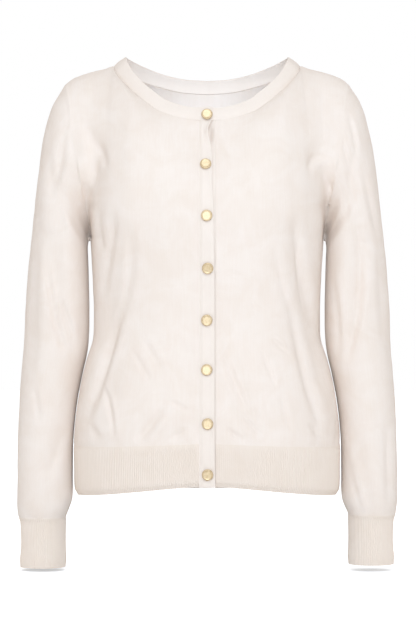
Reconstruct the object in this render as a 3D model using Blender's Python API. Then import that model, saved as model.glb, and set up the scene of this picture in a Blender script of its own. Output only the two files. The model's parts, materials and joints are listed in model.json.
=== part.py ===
"""A women's fine-knit button cardigan, filled out as when it is worn, as the pieces that are cut and sewn.

Sizes are in millimetres and are turned to metres where a mesh is placed. +X is the wearer's left, the
front faces -Y, and +Z is up. The origin is midway between the two points where the neckband crosses the
shoulders.
"""

import math

import bmesh
import bpy
import numpy as np
from mathutils import Matrix, Vector

MM = 0.001
SHARP = math.radians(50)  # edges that turn more than this aren't smoothed
RIGHT, LEFT = -1.0, 1.0  # the wearer's sides

# Driving dimensions
CHEST_Z = -241.0  # level of the underarm
HEM_CENTRE_Z = -560.0  # lower edge at the centre front
HEM_DIP = 17.0  # how much lower the edge is at the sides
RIB_TOP_CENTRE_Z = -505.0
RIB_TOP_DIP = 7.0
SECTION_POWER = 2.3  # squareness of the body's sections
SLEEVE_POWER = 2.15  # squareness of the sleeves' sections
SECTION_SAMPLES = 240  # points along a quarter of a section, where its length is measured
KNIT = 1.5  # wall of the plain knit
RIB_KNIT = 1.3  # wall under the ribs
RIB_HEIGHT = 0.7  # how far a rib stands out
BAND_KNIT = 1.8  # wall of the doubled bands
SEAM = 0.15  # half of the gap between two pieces
ARMHOLE_GAP = 0.375  # how far a sleeve starts beside the body
SIDE_TRIM = 0.0006  # the same half gap at a side seam, as a share of half a panel's width
TOP_TRIM = 0.0015  # how much of its height a panel leaves free at its upper and lower seams
RIB_TRIM = 0.997  # how much of its height a rib takes, clear of what it is sewn to
CUFF_TRIM = 0.008  # how much of its length a cuff leaves free below the sleeve
LAP_GAP = 0.3  # gap between two layers that lie on each other
LAP_LIFT = LAP_GAP + BAND_KNIT  # how far the upper band lies above the body's own surface
UPPER_END_X = 8.0  # from the centre front to the neckband's upper end
BAND_SEAM_X = 10.3  # from the centre front to the buttonhole band's seam
UNDER_SEAM_X = 10.9  # from the centre front to the seam of the band beneath
UNDER_END_X = 8.5  # from the centre front to that band's free edge
LAP_STATIONS = 5  # over how many stations the neckband's upper end rises over its lower one
NECK_BULGE = 1.6  # how far the folded neckband rounds outwards
NECK_TRIM = 0.014  # how much of the neckband's height is left free beside its seam
FRONT_NECK_COLUMNS = 9  # columns of a front from the band to the neck point
BACK_NECK_COLUMNS = 8  # columns of half of the back from its centre to the neck point
SHOULDER_COLUMNS = 4  # columns along a shoulder seam
SHOULDER_START_X = 122.0  # where the shoulder seam starts beside the neckband
BODY_ROWS = 8
YOKE_ROWS = 10  # rows from the underarm to the shoulder, and half the columns round a sleeve
SLEEVE_ROWS = 22
HEM_ROWS = 2
RIBS_PER_CELL = 8  # ribs side by side on one cell of a ribbed wall's plain inside
HEM_FRONT_CELLS = 11
HEM_BACK_CELLS = 23
CUFF_CELLS = 10
NECK_CROWDING = 1.4  # how much closer the columns of the neckline stand at the neck point
NECK_POINT = 0.65  # where the neckline meets the shoulder seam, as a share of the way to the side
BUTTON_STEPS = 14  # sides of a turned button

# The body's sections: level, half of the width, depth in front of the side seams and behind them
BODY_SECTIONS = {
    "z": (-590, -578, -566, -540, -506, -479, -453, -426, -400, -374, -347, -310, -275, -241),
    "half_width": (170, 172.5, 174, 174.5, 175, 173.5, 170, 165.5, 159, 151, 149.5, 150, 151.5, 154),
    "front": (110, 111, 112, 113, 114, 113.5, 112, 110, 107.5, 105.5, 105, 108, 113, 118),
    "back": (100, 102, 103, 104, 105, 102.5, 98, 93, 87.5, 82.5, 80.5, 84, 91.5, 99),
}

# The front neckline and shoulder seam, by share of the way from the centre front to the side, and the back's
FRONT_TOP = {
    "share": (0, 0.056, 0.11, 0.23, 0.31, 0.375, 0.45, 0.51, 0.575, 0.62, 0.65, 0.70, 0.76, 0.86, 0.93, 1.0),
    "x": (0, 12, 24, 49, 65, 77, 90, 101, 113.5, 121.5, 123.5, 135, 149, 168, 178, 188),
    "y": (-76, -75.5, -74.5, -69, -63, -57, -48, -38, -22, -6, 8, 8, 7.5, 7, 6.5, 6),
    "z": (-90, -89.8, -88.5, -82, -75, -66, -55.5, -45, -31, -19, -12, -15.2, -18.8, -24.5, -29, -37),
}
BACK_TOP = {
    "share": (0, 0.16, 0.30, 0.42, 0.52, 0.59, 0.65, 0.70, 0.76, 0.86, 0.93, 1.0),
    "x": (0, 35, 65, 90, 108, 119.5, 123.5, 135, 149, 168, 178, 188),
    "y": (78, 74, 63, 49, 33, 19, 8, 8, 7.5, 7, 6.5, 6),
    "z": (-43, -40.5, -34, -27, -19.5, -14.5, -12, -15.2, -18.8, -24.5, -29, -37),
}

# The armhole seam, by angle from the shoulder tip round the front (or the back) to the underarm
ARMHOLE_FRONT = {
    "angle": (0, 8, 25, 45, 65, 90, 115, 140, 160, 180),
    "x": (188, 187.7, 185, 180.5, 177.5, 171.5, 163.5, 157, 154.5, 154),
    "y": (6, 0, -14, -30, -41, -49, -50, -39, -21, 0),
    "z": (-37, -37.8, -45, -66, -97, -140, -182, -217, -235, -241),
}
ARMHOLE_BACK = {
    "angle": (0, 8, 25, 45, 65, 90, 115, 140, 160, 180),
    "x": (188, 187.7, 184.5, 180, 175.5, 169, 162.5, 157, 154.5, 154),
    "y": (6, 12, 25, 39, 48, 53, 49, 37, 19, 0),
    "z": (-37, -37.8, -46, -69, -101, -142, -184, -218, -235, -241),
}
ARMHOLE_MIDDLE = (2.0, -140.0)  # y and z
NECK_LEAN = {"front": 70, "back": 73}  # how steep, in degrees, the yoke is at the middle of the neckline
NECK_PULL = {"front": 48.0, "back": 55.0}  # how far below its top the yoke starts to round over
CHEST_PULL = 0.36  # for what share of its height the yoke keeps on straight from the chest
ARMHOLE_FADE = 4  # how fast the armhole's outline fades into the body's columns
CORNER_SHIFTS = (-0.12, -0.08, -0.04, 0.0, 0.04, 0.08, 0.12)  # shares, where the neck point softens
CORNER_FADE = 9  # how close to the upper edge the cloth takes on that corner

# The sleeve's sections: inner and outer end in the front view, then middle depth, reach forward and backward
SLEEVE_SECTIONS = {
    "inner_x": (
        154, 156.5, 157, 157.5, 157.5, 157, 156.5, 156, 155.5, 157, 166.5, 174, 178.5, 179, 179, 181.5, 185.5,
        186, 186, 184.5,
    ),
    "inner_z": (
        -241, -244, -247, -251, -257, -266, -280, -302, -335, -375, -415, -455, -500, -545, -575, -592, -604,
        -612, -640, -668,
    ),
    "outer_x": (
        188, 204, 213, 219, 223.5, 228, 233, 237, 240, 242.5, 245.5, 248, 249.5, 250, 250, 249.5, 247,
        244.5, 243.3, 245.5,
    ),
    "outer_z": (
        -37, -64, -95, -125, -160, -200, -243, -285, -330, -375, -415, -455, -500, -545, -575, -592, -604,
        -612, -640, -668,
    ),
    "middle_y": (2, 2, 2, 2, 1, 1, 1, 2, 4, 7, 8, 6, 2, -4, -8, -11, -13, -14, -18, -22),
    "forward": (50, 51, 52, 51, 51, 50, 49, 48, 46, 43, 41, 39, 37, 36, 35, 33.5, 30, 28, 26, 27.5),
    "backward": (51, 52, 51, 51, 50, 49, 48, 46, 44, 43, 41, 39, 37, 35, 34, 32.5, 29, 27, 25, 26.5),
}
SLEEVE_LENGTH = 430.0  # from the underarm to the cuff's edge
SLEEVE_DROP = {RIGHT: -2.5, LEFT: 1.5}  # one sleeve hangs a little lower than the other
CUFF_START = 16  # the section where the sleeve is gathered into its cuff
CAP_SECTIONS = 5.0  # over how many sections the armhole's outline fades into round ones

# The neckband's free edge, by the same shares as the neckline that it is sewn to
NECK_EDGE_FRONT = {
    "share": (0, 0.11, 0.23, 0.31, 0.375, 0.45, 0.51, 0.575, 0.62, 0.65),
    "x": (0, 21, 43, 57, 67, 79, 89, 99.5, 106, 107.5),
    "y": (-70.5, -69, -63, -57, -52, -44, -35, -21, -6, 8),
    "z": (-73.5, -72.5, -66.5, -60, -52, -42, -32, -18, -4.5, 0.5),
}
NECK_EDGE_BACK = {
    "share": (0, 0.16, 0.30, 0.42, 0.52, 0.59, 0.65),
    "x": (0, 31.5, 58, 80, 95.5, 104.5, 107.5),
    "y": (73, 69.5, 58.5, 45, 30.5, 18, 8),
    "z": (-25, -23, -18, -11, -5, -1, 0.5),
}

# The free edge of the buttonhole band, which curls in below the neck
BAND_EDGE = {
    "z": (-560, -540, -440, -255, -195, -175, -131, -122, -112, -100, -90),
    "x": (10.6, 10, 9.5, 8.9, 7.6, 6.4, 6.2, 5.0, 2.7, 3.0, 5.8),
}

# Large folds: which surface, its two ends in the front view, then half width and depth (a ridge is negative)
FOLDS = (
    ("front", (-119, -235), (-133, -440), 15, 3.5),
    ("front", (-70, -180), (-96, -330), 18, 1.8),
    ("front", (-139, -126), (-148, -196), 12, 4.0),
    ("front", (143, -130), (153, -198), 12, 4.0),
    ("front", (115, -235), (144, -425), 15, 3.5),
    ("front", (45, -400), (80, -480), 14, 2.2),
    ("front", (-60, -440), (-30, -390), 14, 2.2),
    ("back", (-118, -240), (-132, -430), 16, 3.5),
    ("back", (117, -240), (130, -420), 16, 3.5),
    ("back", (-40, -330), (-75, -470), 20, 2.5),
    ("back", (38, -340), (70, -480), 20, 2.5),
    ("sleeve_right", (-209, -240), (-184, -378), 13, 4.5),
    ("sleeve_right", (-172, -450), (-206, -540), 13, 3.5),
    ("sleeve_right", (-190, -140), (-196, -300), 12, 2.5),
    ("sleeve_left", (206, -250), (181, -385), 13, 4.5),
    ("sleeve_left", (186, -500), (210, -590), 13, 3.5),
    ("sleeve_left", (189, -140), (196, -310), 12, 2.5),
)

# The buttons: centre in the front view
BUTTONS = {
    "x": (0.1, -1.7, -0.3, 0.9, -0.2, -0.3, 0.8, 0.8),
    "z": (-83.6, -149.3, -214.7, -280.9, -347.3, -411.0, -479.4, -543.8),
}
# Half of the button's section, from the middle of its back to the middle of its face: radius and height
BUTTON_PROFILE = ((5.6, 0.0), (7.25, 1.1), (6.5, 2.5), (5.2, 2.1))
BUTTON_FACE = 1.9


def read(table, key, column, at):
    """A smooth reading of one column of a table, through its points."""
    keys = np.array(table[key], dtype=float)
    values = np.array(table[column], dtype=float)
    slopes = np.gradient(values, keys)
    at = min(max(at, keys[0]), keys[-1])
    i = min(int(np.searchsorted(keys, at, side="right")) - 1, len(keys) - 2)
    step = keys[i + 1] - keys[i]
    t = (at - keys[i]) / step
    start = values[i] * (1 + 2 * t) * (1 - t) ** 2 + slopes[i] * step * t * (1 - t) ** 2
    end = values[i + 1] * (3 - 2 * t) * t**2 - slopes[i + 1] * step * (1 - t) * t**2
    return float(start + end)


def smooth_step(value):
    value = min(max(value, 0.0), 1.0)
    return value * value * (3 - 2 * value)


def unit(vector):
    return vector / np.linalg.norm(vector)


def quarter_section(half_width, depth):
    """A quarter of the body's section, from the centre to the side: its points and the length up to each."""
    angle = np.linspace(0, math.pi / 2, SECTION_SAMPLES)
    power = 2 / SECTION_POWER
    points = np.stack((half_width * np.sin(angle) ** power, depth * np.cos(angle) ** power), axis=1)
    length = np.concatenate(([0.0], np.cumsum(np.linalg.norm(np.diff(points, axis=0), axis=1))))
    return points, length


def section_length(half, z):
    """The length of a quarter of the body's section."""
    width, depth = read(BODY_SECTIONS, "z", "half_width", z), read(BODY_SECTIONS, "z", half, z)
    return quarter_section(width, depth)[1][-1]


CHEST_LENGTH = {half: section_length(half, CHEST_Z) for half in ("front", "back")}


def section_point(half, z, share, start):
    """A point of the body's lower part. Share runs from `start` mm beside the centre to the side seam, 1."""
    width = read(BODY_SECTIONS, "z", "half_width", z)
    points, length = quarter_section(width, read(BODY_SECTIONS, "z", half, z))
    along = start + share * (length[-1] - start)
    x = np.interp(along, length, points[:, 0])
    y = np.interp(along, length, points[:, 1])
    return np.array((x, -y if half == "front" else y, z))


def body_level(half, level, share):
    """The height of a point below the chest: level -1 is the hem, 0 the top of the ribs and 1 the chest."""
    round_body = math.sin(math.pi / 2 * share) if half == "front" else 1.0
    hem = HEM_CENTRE_Z - HEM_DIP * round_body**1.3
    rib_top = RIB_TOP_CENTRE_Z - RIB_TOP_DIP * round_body
    if level < 0:
        return rib_top + (rib_top - hem) * level
    return rib_top + (CHEST_Z - rib_top) * level


def armhole(half, angle):
    table = ARMHOLE_FRONT if half == "front" else ARMHOLE_BACK
    return np.array([read(table, "angle", axis, angle) for axis in "xyz"])


def bezier(start, start_pull, end_pull, end, t):
    s = 1 - t
    return start * s**3 + start_pull * 3 * s * s * t + end_pull * 3 * s * t * t + end * t**3


def top_edge(half, share, t):
    """The upper edge as a column feels it: its corner at the neck point fades out below the edge."""
    table = FRONT_TOP if half == "front" else BACK_TOP
    sharp = np.array([read(table, "share", axis, share) for axis in "xyz"])
    if t >= 1:
        return sharp
    spread = [share + shift for shift in CORNER_SHIFTS]
    soft = np.array([np.mean([read(table, "share", axis, each) for each in spread]) for axis in "xyz"])
    inside = smooth_step(share / 0.35) * smooth_step((1 - share) / 0.2) * (1 - t**CORNER_FADE)
    return sharp + (soft - sharp) * inside


def yoke_column(half, share, t):
    """A column from the chest to the neckline or the shoulder seam."""
    sign = -1.0 if half == "front" else 1.0
    start = section_point(half, CHEST_Z, share, 0.0)
    below = section_point(half, CHEST_Z - 4, share, 0.0)
    end = top_edge(half, share, t)
    up = unit(start - below)
    lean = math.radians(NECK_LEAN[half]) * (1 - smooth_step(share / NECK_POINT))
    arrive = np.array((0.0, -sign * math.cos(lean), math.sin(lean)))
    reach = np.linalg.norm(end - start)
    return bezier(start, start + up * reach * CHEST_PULL, end - arrive * NECK_PULL[half], end, t)


def yoke_point(half, share, t):
    point = yoke_column(half, share, t)
    edge = armhole(half, 180 * (1 - t)) - yoke_column(half, 1.0, t)
    return point + edge * share**ARMHOLE_FADE


def body_surface(half, level, share, start=0.0):
    """The outer surface of the front or back, on the +X side. Level 2 is the neckline and shoulder seam."""
    if level <= 1:
        nominal = body_level(half, level, share)
        return section_point(half, nominal, share, start)
    offset = start / CHEST_LENGTH[half]
    return yoke_point(half, offset + share * (1 - offset), level - 1)


def facing_out(surface, a, b, step=0.03):
    """The outward direction of a surface of two shares, worked out from its neighbours."""
    low_a, high_a = max(a - step, 0.0), min(a + step, 1.0)
    low_b, high_b = max(b - step, 0.0), min(b + step, 1.0)
    along_a = surface(high_a, b) - surface(low_a, b)
    along_b = surface(a, high_b) - surface(a, low_b)
    return unit(np.cross(along_a, along_b))


def fold_depth(surface, point):
    """How far the folds of this surface push a point in."""
    depth = 0.0
    for name, start, end, half_width, fold in FOLDS:
        if name != surface:
            continue
        start, end = np.array(start), np.array(end)
        along = end - start
        place = point[[0, 2]] - start
        t = float(place @ along) / float(along @ along)
        away = np.linalg.norm(place - min(max(t, 0.0), 1.0) * along)
        depth += fold * math.exp(-((away / half_width) ** 2))
    return depth


def mirrored(point, side):
    return point * np.array((side, 1.0, 1.0))


def neck_share(column, neck_columns, start_share=0.0):
    """The share of a column on the neckline. The columns stand closer towards the neck point."""
    left = (1 - column / neck_columns) ** NECK_CROWDING
    return NECK_POINT - (NECK_POINT - start_share) * left


def column_share(across, neck_columns, start_share):
    """Turns a share of a half panel's columns to a share of its width, with a column at the neck point."""
    column = across * (neck_columns + SHOULDER_COLUMNS)
    if column <= neck_columns:
        share = neck_share(column, neck_columns, start_share)
    else:
        share = NECK_POINT + (1 - NECK_POINT) * (column - neck_columns) / SHOULDER_COLUMNS
    return (share - start_share) / (1 - start_share)


def seam_facing(out, point):
    """Turns the way a wall faces at the armhole halfway towards the way out of the armhole's middle."""
    return unit(out + unit(np.array((0.0, point[1] - ARMHOLE_MIDDLE[0], point[2] - ARMHOLE_MIDDLE[1]))))


def body_place(half, side, low, high, start, thickness=KNIT, folds=True):
    """The placing rule for a stretch of the body between two levels, from the centre to the side."""

    def surface(across, along):
        return body_surface(half, low + along * (high - low), across, start)

    def place(across, along, inner, raised):
        point = surface(across, along)
        out = facing_out(surface, across, along)
        if half == "back":
            out = -out
        if high > 1:
            t = low + along * (high - low) - 1
            if across > 0.999 and t > -0.001:
                out = seam_facing(out, point)
            if t > 1 - 2 * TOP_TRIM and point[0] > SHOULDER_START_X:
                out = unit(out * np.array((1.0, 0.0, 1.0)))
        depth = fold_depth(half, mirrored(point, side)) if folds else 0.0
        if raised:
            depth -= RIB_HEIGHT
        if inner:
            depth += thickness
        return mirrored(point - out * depth, side)

    return place


def join_rims(mesh, columns):
    """Makes one face of each cell's rim at the two ends of a ribbed wall, while it is still a flat slab."""
    for end in (-0.5, 0.5):
        cells = {}
        for face in mesh.faces:
            if all(abs(vertex.co.y - end) < 1e-5 for vertex in face.verts):
                cell = int((face.calc_center_median().x + 0.5) * columns)
                cells.setdefault(cell, []).append(face)
        for cell_faces in cells.values():
            bmesh.ops.dissolve_faces(mesh, faces=cell_faces, use_verts=False)


def cloth_wall(name, columns, rows, place, material, ring=False, ribs=0):
    """A closed wall of cloth on a grid. Place gives each point, in mm, from its shares across and along."""
    mesh = bmesh.new()
    bmesh.ops.create_grid(mesh, x_segments=columns, y_segments=rows, size=0.5)
    across = mesh.verts.layers.float.new("across")
    along = mesh.verts.layers.float.new("along")
    inner = mesh.verts.layers.int.new("inner")
    for vertex in mesh.verts:
        vertex[across] = vertex.co.x + 0.5
        vertex[along] = vertex.co.y + 0.5
    skin = bmesh.ops.extrude_face_region(mesh, geom=mesh.faces[:], use_keep_orig=True)
    for item in skin["geom"]:
        if isinstance(item, bmesh.types.BMVert):
            item[inner] = 1
            item.co.z -= 0.01
    if ribs:
        outer_rows = [
            edge
            for edge in mesh.edges
            if not any(v[inner] for v in edge.verts) and abs(edge.verts[0].co.y - edge.verts[1].co.y) < 1e-5
        ]
        bmesh.ops.subdivide_edges(mesh, edges=outer_rows, cuts=2 * ribs - 1, use_grid_fill=True)
        for vertex in mesh.verts:
            vertex[across] = vertex.co.x + 0.5
        join_rims(mesh, columns)
    bmesh.ops.recalc_face_normals(mesh, faces=mesh.faces)
    if ring:
        ends = [
            face
            for face in mesh.faces
            if all(v[across] < 1e-5 for v in face.verts) or all(v[across] > 1 - 1e-5 for v in face.verts)
        ]
        bmesh.ops.delete(mesh, geom=ends, context="FACES_ONLY")
    for vertex in mesh.verts:
        raised = bool(ribs) and not vertex[inner] and round(vertex[across] * columns * ribs * 2) % 2 == 1
        point = place(vertex[across], vertex[along], vertex[inner], raised)
        vertex.co = Vector(point) * MM
    if ring:
        bmesh.ops.remove_doubles(mesh, verts=mesh.verts, dist=0.00001)
    quads = [face for face in mesh.faces if len(face.verts) == 4]
    bmesh.ops.triangulate(mesh, faces=quads, quad_method="SHORT_EDGE")
    if mesh.calc_volume(signed=True) < 0:
        bmesh.ops.reverse_faces(mesh, faces=mesh.faces)
    return placed(name, finished(name, mesh, material))


def finished(name, mesh, material):
    data = bpy.data.meshes.new(name)
    mesh.to_mesh(data)
    mesh.free()
    data.materials.append(material)
    data.shade_smooth()
    data.set_sharp_from_angle(angle=SHARP)
    return data


def placed(name, data):
    piece = bpy.data.objects.new(name, data)
    CARDIGAN.objects.link(piece)
    return piece


def plain_material(name, colour, roughness, metallic=0.0):
    material = bpy.data.materials.new(name)
    material.use_nodes = True
    shader = material.node_tree.nodes["Principled BSDF"]
    shader.inputs["Base Color"].default_value = (*colour, 1.0)
    shader.inputs["Roughness"].default_value = roughness
    shader.inputs["Metallic"].default_value = metallic
    return material


def front_panel(name, side, start):
    rows = BODY_ROWS + YOKE_ROWS
    place = body_place("front", side, 0.0, 2.0, start)

    def fitted(across, along, inner, raised):
        level = row_level(along, rows)
        reach = column_share(across, FRONT_NECK_COLUMNS, start / CHEST_LENGTH["front"])
        return place(clear_of_side(reach, level), trimmed(reach, level) / 2, inner, raised)

    return cloth_wall(name, FRONT_NECK_COLUMNS + SHOULDER_COLUMNS, rows, fitted, COLOURS[name])


def row_level(along, rows):
    """The level of a row: the first BODY_ROWS reach the chest, the others the shoulder."""
    row = along * rows
    if row <= BODY_ROWS:
        return row / BODY_ROWS
    return 1 + (row - BODY_ROWS) / (rows - BODY_ROWS)


def clear_of_side(share, level):
    """Keeps the edge of a panel clear of the side seam, up to the underarm."""
    return share * (1 - SIDE_TRIM) if level < 1 - 1e-6 else share


def trimmed(share, level):
    """Keeps a row clear of the ribs below it, of the seam above it and of its neighbour at the underarm."""
    if share > 0.999 and abs(level - 1) < 1e-6:
        return 1 + TOP_TRIM
    return min(max(level, TOP_TRIM), 2 - TOP_TRIM)


def back_panel():
    rows = BODY_ROWS + YOKE_ROWS
    places = {side: body_place("back", side, 0.0, 2.0, 0.0) for side in (-1, 1)}

    def fitted(across, along, inner, raised):
        side = 1 if across >= 0.5 else -1
        level = row_level(along, rows)
        reach = column_share(abs(across - 0.5) * 2, BACK_NECK_COLUMNS, 0.0)
        return places[side](clear_of_side(reach, level), trimmed(reach, level) / 2, inner, raised)

    columns = 2 * (BACK_NECK_COLUMNS + SHOULDER_COLUMNS)
    return cloth_wall("back_panel", columns, rows, fitted, COLOURS["back_panel"])


def hem_front(name, side, start):
    place = body_place("front", side, -1.0, 0.0, start, thickness=RIB_KNIT, folds=False)

    def fitted(across, along, inner, raised):
        return place(across * (1 - SIDE_TRIM), along * RIB_TRIM, inner, raised)

    return cloth_wall(name, HEM_FRONT_CELLS, HEM_ROWS, fitted, COLOURS[name], ribs=RIBS_PER_CELL)


def hem_back():
    places = {
        side: body_place("back", side, -1.0, 0.0, 0.0, thickness=RIB_KNIT, folds=False) for side in (-1, 1)
    }

    def fitted(across, along, inner, raised):
        side = 1 if across >= 0.5 else -1
        return places[side](abs(across - 0.5) * 2 * (1 - SIDE_TRIM), along * RIB_TRIM, inner, raised)

    name = "hem_rib_back"
    return cloth_wall(name, HEM_BACK_CELLS, HEM_ROWS, fitted, COLOURS[name], ribs=RIBS_PER_CELL)


def sleeve_section(station, angle):
    """A point of the sleeve's surface on the +X side. Angle 0 is outermost, 90 in front, 180 innermost."""
    keys = {"station": tuple(range(len(SLEEVE_SECTIONS["inner_x"]))), **SLEEVE_SECTIONS}

    def value(column):
        return read(keys, "station", column, station)

    turn = math.radians(angle)
    inner = np.array((value("inner_x"), value("middle_y"), value("inner_z")))
    outer = np.array((value("outer_x"), value("middle_y"), value("outer_z")))
    depth = value("forward") if math.sin(turn) > 0 else value("backward")
    power = 2 / SLEEVE_POWER
    wide = math.copysign(abs(math.cos(turn)) ** power, math.cos(turn))
    deep = math.copysign(abs(math.sin(turn)) ** power, math.sin(turn))
    return (inner + outer) / 2 + (outer - inner) / 2 * wide + np.array((0.0, -depth * deep, 0.0))


def sleeve_surface(station, angle):
    """The sleeve's surface, which starts on the armhole's own outline."""
    point = sleeve_section(station, angle)
    fade = 1 - smooth_step(station / CAP_SECTIONS)
    if fade > 0:
        half = "front" if angle <= 180 else "back"
        seam = armhole(half, angle if angle <= 180 else 360 - angle)
        point = point + (seam - sleeve_section(0, angle)) * fade
    return point


def sleeve_place(side, first, last, thickness):
    def surface(across, along):
        return sleeve_surface(first + along * (last - first), 360 * across)

    def place(across, along, inner, raised):
        point = surface(across, along)
        low = surface((across - 0.004) % 1.0, along)
        high = surface((across + 0.004) % 1.0, along)
        up = surface(across, max(along - 0.003, 0.0))
        down = surface(across, min(along + 0.003, 1.0))
        out = unit(np.cross(high - low, down - up))
        if first == 0 and along < 1e-6:
            out = seam_facing(out, point)
            point = point + np.array((ARMHOLE_GAP, 0.0, 0.0))
        drop = SLEEVE_DROP[side] * smooth_step((CHEST_Z - point[2]) / SLEEVE_LENGTH)
        point = point + np.array((0.0, 0.0, drop))
        depth = fold_depth("sleeve_left" if side > 0 else "sleeve_right", mirrored(point, side))
        depth *= smooth_step(2 - 2 * point_inward(across))
        if raised:
            depth -= RIB_HEIGHT
        if inner:
            depth += thickness
        return mirrored(point - out * depth, side)

    return place


def point_inward(across):
    """0 on the sleeve's outer side and 1 where it hangs beside the body."""
    return 0.5 - 0.5 * math.cos(2 * math.pi * across)


def sleeve(name, side):
    place = sleeve_place(side, 0, CUFF_START, KNIT)
    return cloth_wall(name, 2 * YOKE_ROWS, SLEEVE_ROWS, place, COLOURS[name], ring=True)


def cuff(name, side):
    last = len(SLEEVE_SECTIONS["inner_x"]) - 1
    place = sleeve_place(side, CUFF_START, last, RIB_KNIT)

    def fitted(across, along, inner, raised):
        return place(across, CUFF_TRIM + along * (1 - CUFF_TRIM), inner, raised)

    return cloth_wall(name, CUFF_CELLS, HEM_ROWS, fitted, COLOURS[name], ring=True, ribs=RIBS_PER_CELL)


def lap_surface(x, level):
    """The front's surface beside the centre line, at a signed distance across it."""
    side = 1.0 if x >= 0 else -1.0
    distance = abs(x)
    if level <= 1:
        share = distance / CHEST_LENGTH["front"]
        point = section_point("front", body_level("front", level, share), 0.0, distance)
    else:
        point = yoke_point("front", distance / CHEST_LENGTH["front"], level - 1)
    return mirrored(point, side)


def band_level(along):
    """The level of a row of a front band, on the same rows as the hem's, the body's and the yoke's."""
    row = along * (HEM_ROWS + BODY_ROWS + YOKE_ROWS)
    if row <= HEM_ROWS:
        return row / HEM_ROWS - 1
    if row <= HEM_ROWS + BODY_ROWS:
        return (row - HEM_ROWS) / BODY_ROWS
    return 1 + (row - HEM_ROWS - BODY_ROWS) / YOKE_ROWS


def band(name, edges, lift):
    """A front band. Edges gives its two sides' distances from the centre line at a height."""

    def place(across, along, inner, raised):
        level = min(band_level(along), 2 - TOP_TRIM)
        height = lap_surface(0.0, level)[2]
        left, right = edges(height)
        x = left + across * (right - left)
        point = lap_surface(x, level)
        beside = lap_surface(x + 1, level) - lap_surface(x - 1, level)
        above = lap_surface(x, min(level + 0.01, 2.0)) - lap_surface(x, max(level - 0.01, -1.0))
        out = unit(np.cross(beside, above))
        return point + out * (lift - (BAND_KNIT if inner else 0.0))

    return cloth_wall(name, 3, HEM_ROWS + BODY_ROWS + YOKE_ROWS, place, COLOURS[name])


def neck_stations():
    """The neckband's stations, from its under end to its upper one: half of the body, side and share."""
    chest = CHEST_LENGTH["front"]
    left, right = (UNDER_SEAM_X + 2 * SEAM) / chest, (BAND_SEAM_X + 2 * SEAM) / chest
    front, back = range(FRONT_NECK_COLUMNS + 1), range(BACK_NECK_COLUMNS + 1)
    front_left = [("front", LEFT, neck_share(i, FRONT_NECK_COLUMNS, left)) for i in front]
    front_right = [("front", RIGHT, neck_share(i, FRONT_NECK_COLUMNS, right)) for i in front]
    back_left = [("back", LEFT, neck_share(i, BACK_NECK_COLUMNS)) for i in back]
    back_right = [("back", RIGHT, neck_share(i, BACK_NECK_COLUMNS)) for i in back]
    under_end = [("front", RIGHT, UNDER_END_X / chest), ("front", LEFT, 0.0)]
    upper_end = [("front", RIGHT, 0.0), ("front", LEFT, UPPER_END_X / chest)]
    round_back = back_left[-2::-1] + back_right[1:]
    return under_end + front_left + round_back + front_right[-2::-1] + upper_end


def neck_point(station, up):
    """A point of the neckband's outer surface, from its seam with the body, 0, to its free edge, 1."""
    half, side, share = station
    table = NECK_EDGE_FRONT if half == "front" else NECK_EDGE_BACK
    lower = yoke_point(half, share, 1.0)
    upper = np.array([read(table, "share", axis, share) for axis in "xyz"])
    bulge = NECK_BULGE * math.sin(math.pi * up)
    away = unit(lower * np.array((1.0, 1.0, 0.0)))
    return mirrored(lower + (upper - lower) * up + away * bulge, side)


def neckband():
    stations = neck_stations()
    last = len(stations) - 1

    def place(across, up, inner, raised):
        i = round(across * last)
        up = NECK_TRIM + up * (1 - NECK_TRIM)
        point = neck_point(stations[i], up)
        forward = neck_point(stations[min(i + 1, last)], up) - neck_point(stations[max(i - 1, 0)], up)
        rise = neck_point(stations[i], 1.0) - neck_point(stations[i], 0.0)
        out = unit(np.cross(forward, rise))
        lift = LAP_LIFT * smooth_step((i - last + LAP_STATIONS) / (LAP_STATIONS - 2))
        return point + out * (lift - (BAND_KNIT if inner else 0.0))

    return cloth_wall("neckband", last, 2, place, COLOURS["neckband"])


def button_mesh():
    """A turned disc with a rounded rim and a slightly sunken face, made by turning half of its section."""
    mesh = bmesh.new()
    back = mesh.verts.new((0.0, 0.0, 0.0))
    face = mesh.verts.new((0.0, 0.0, BUTTON_FACE * MM))
    outline = [back]
    outline += [mesh.verts.new((radius * MM, 0.0, height * MM)) for radius, height in BUTTON_PROFILE]
    outline += [face]
    edges = [mesh.edges.new(pair) for pair in zip(outline[:-1], outline[1:])]
    bmesh.ops.spin(
        mesh, geom=outline + edges, axis=(0, 0, 1), cent=(0, 0, 0), angle=2 * math.pi, steps=BUTTON_STEPS,
        use_merge=True,
    )
    bmesh.ops.remove_doubles(mesh, verts=mesh.verts, dist=0.00001)
    bmesh.ops.recalc_face_normals(mesh, faces=mesh.faces)
    return finished("button", mesh, COLOURS["buttons"])


def surface_at(x, z):
    """The point of the lapped front at a height, and the way that it faces."""
    low, high = -1.0, 2.0
    while high - low > 1e-6:
        level = (low + high) / 2
        if lap_surface(x, level)[2] < z:
            low = level
        else:
            high = level
    point = lap_surface(x, level)
    beside = lap_surface(x + 2, level) - lap_surface(x - 2, level)
    above = lap_surface(x, min(level + 0.03, 2.0)) - lap_surface(x, max(level - 0.03, -1.0))
    return point, unit(np.cross(beside, above))


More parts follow.
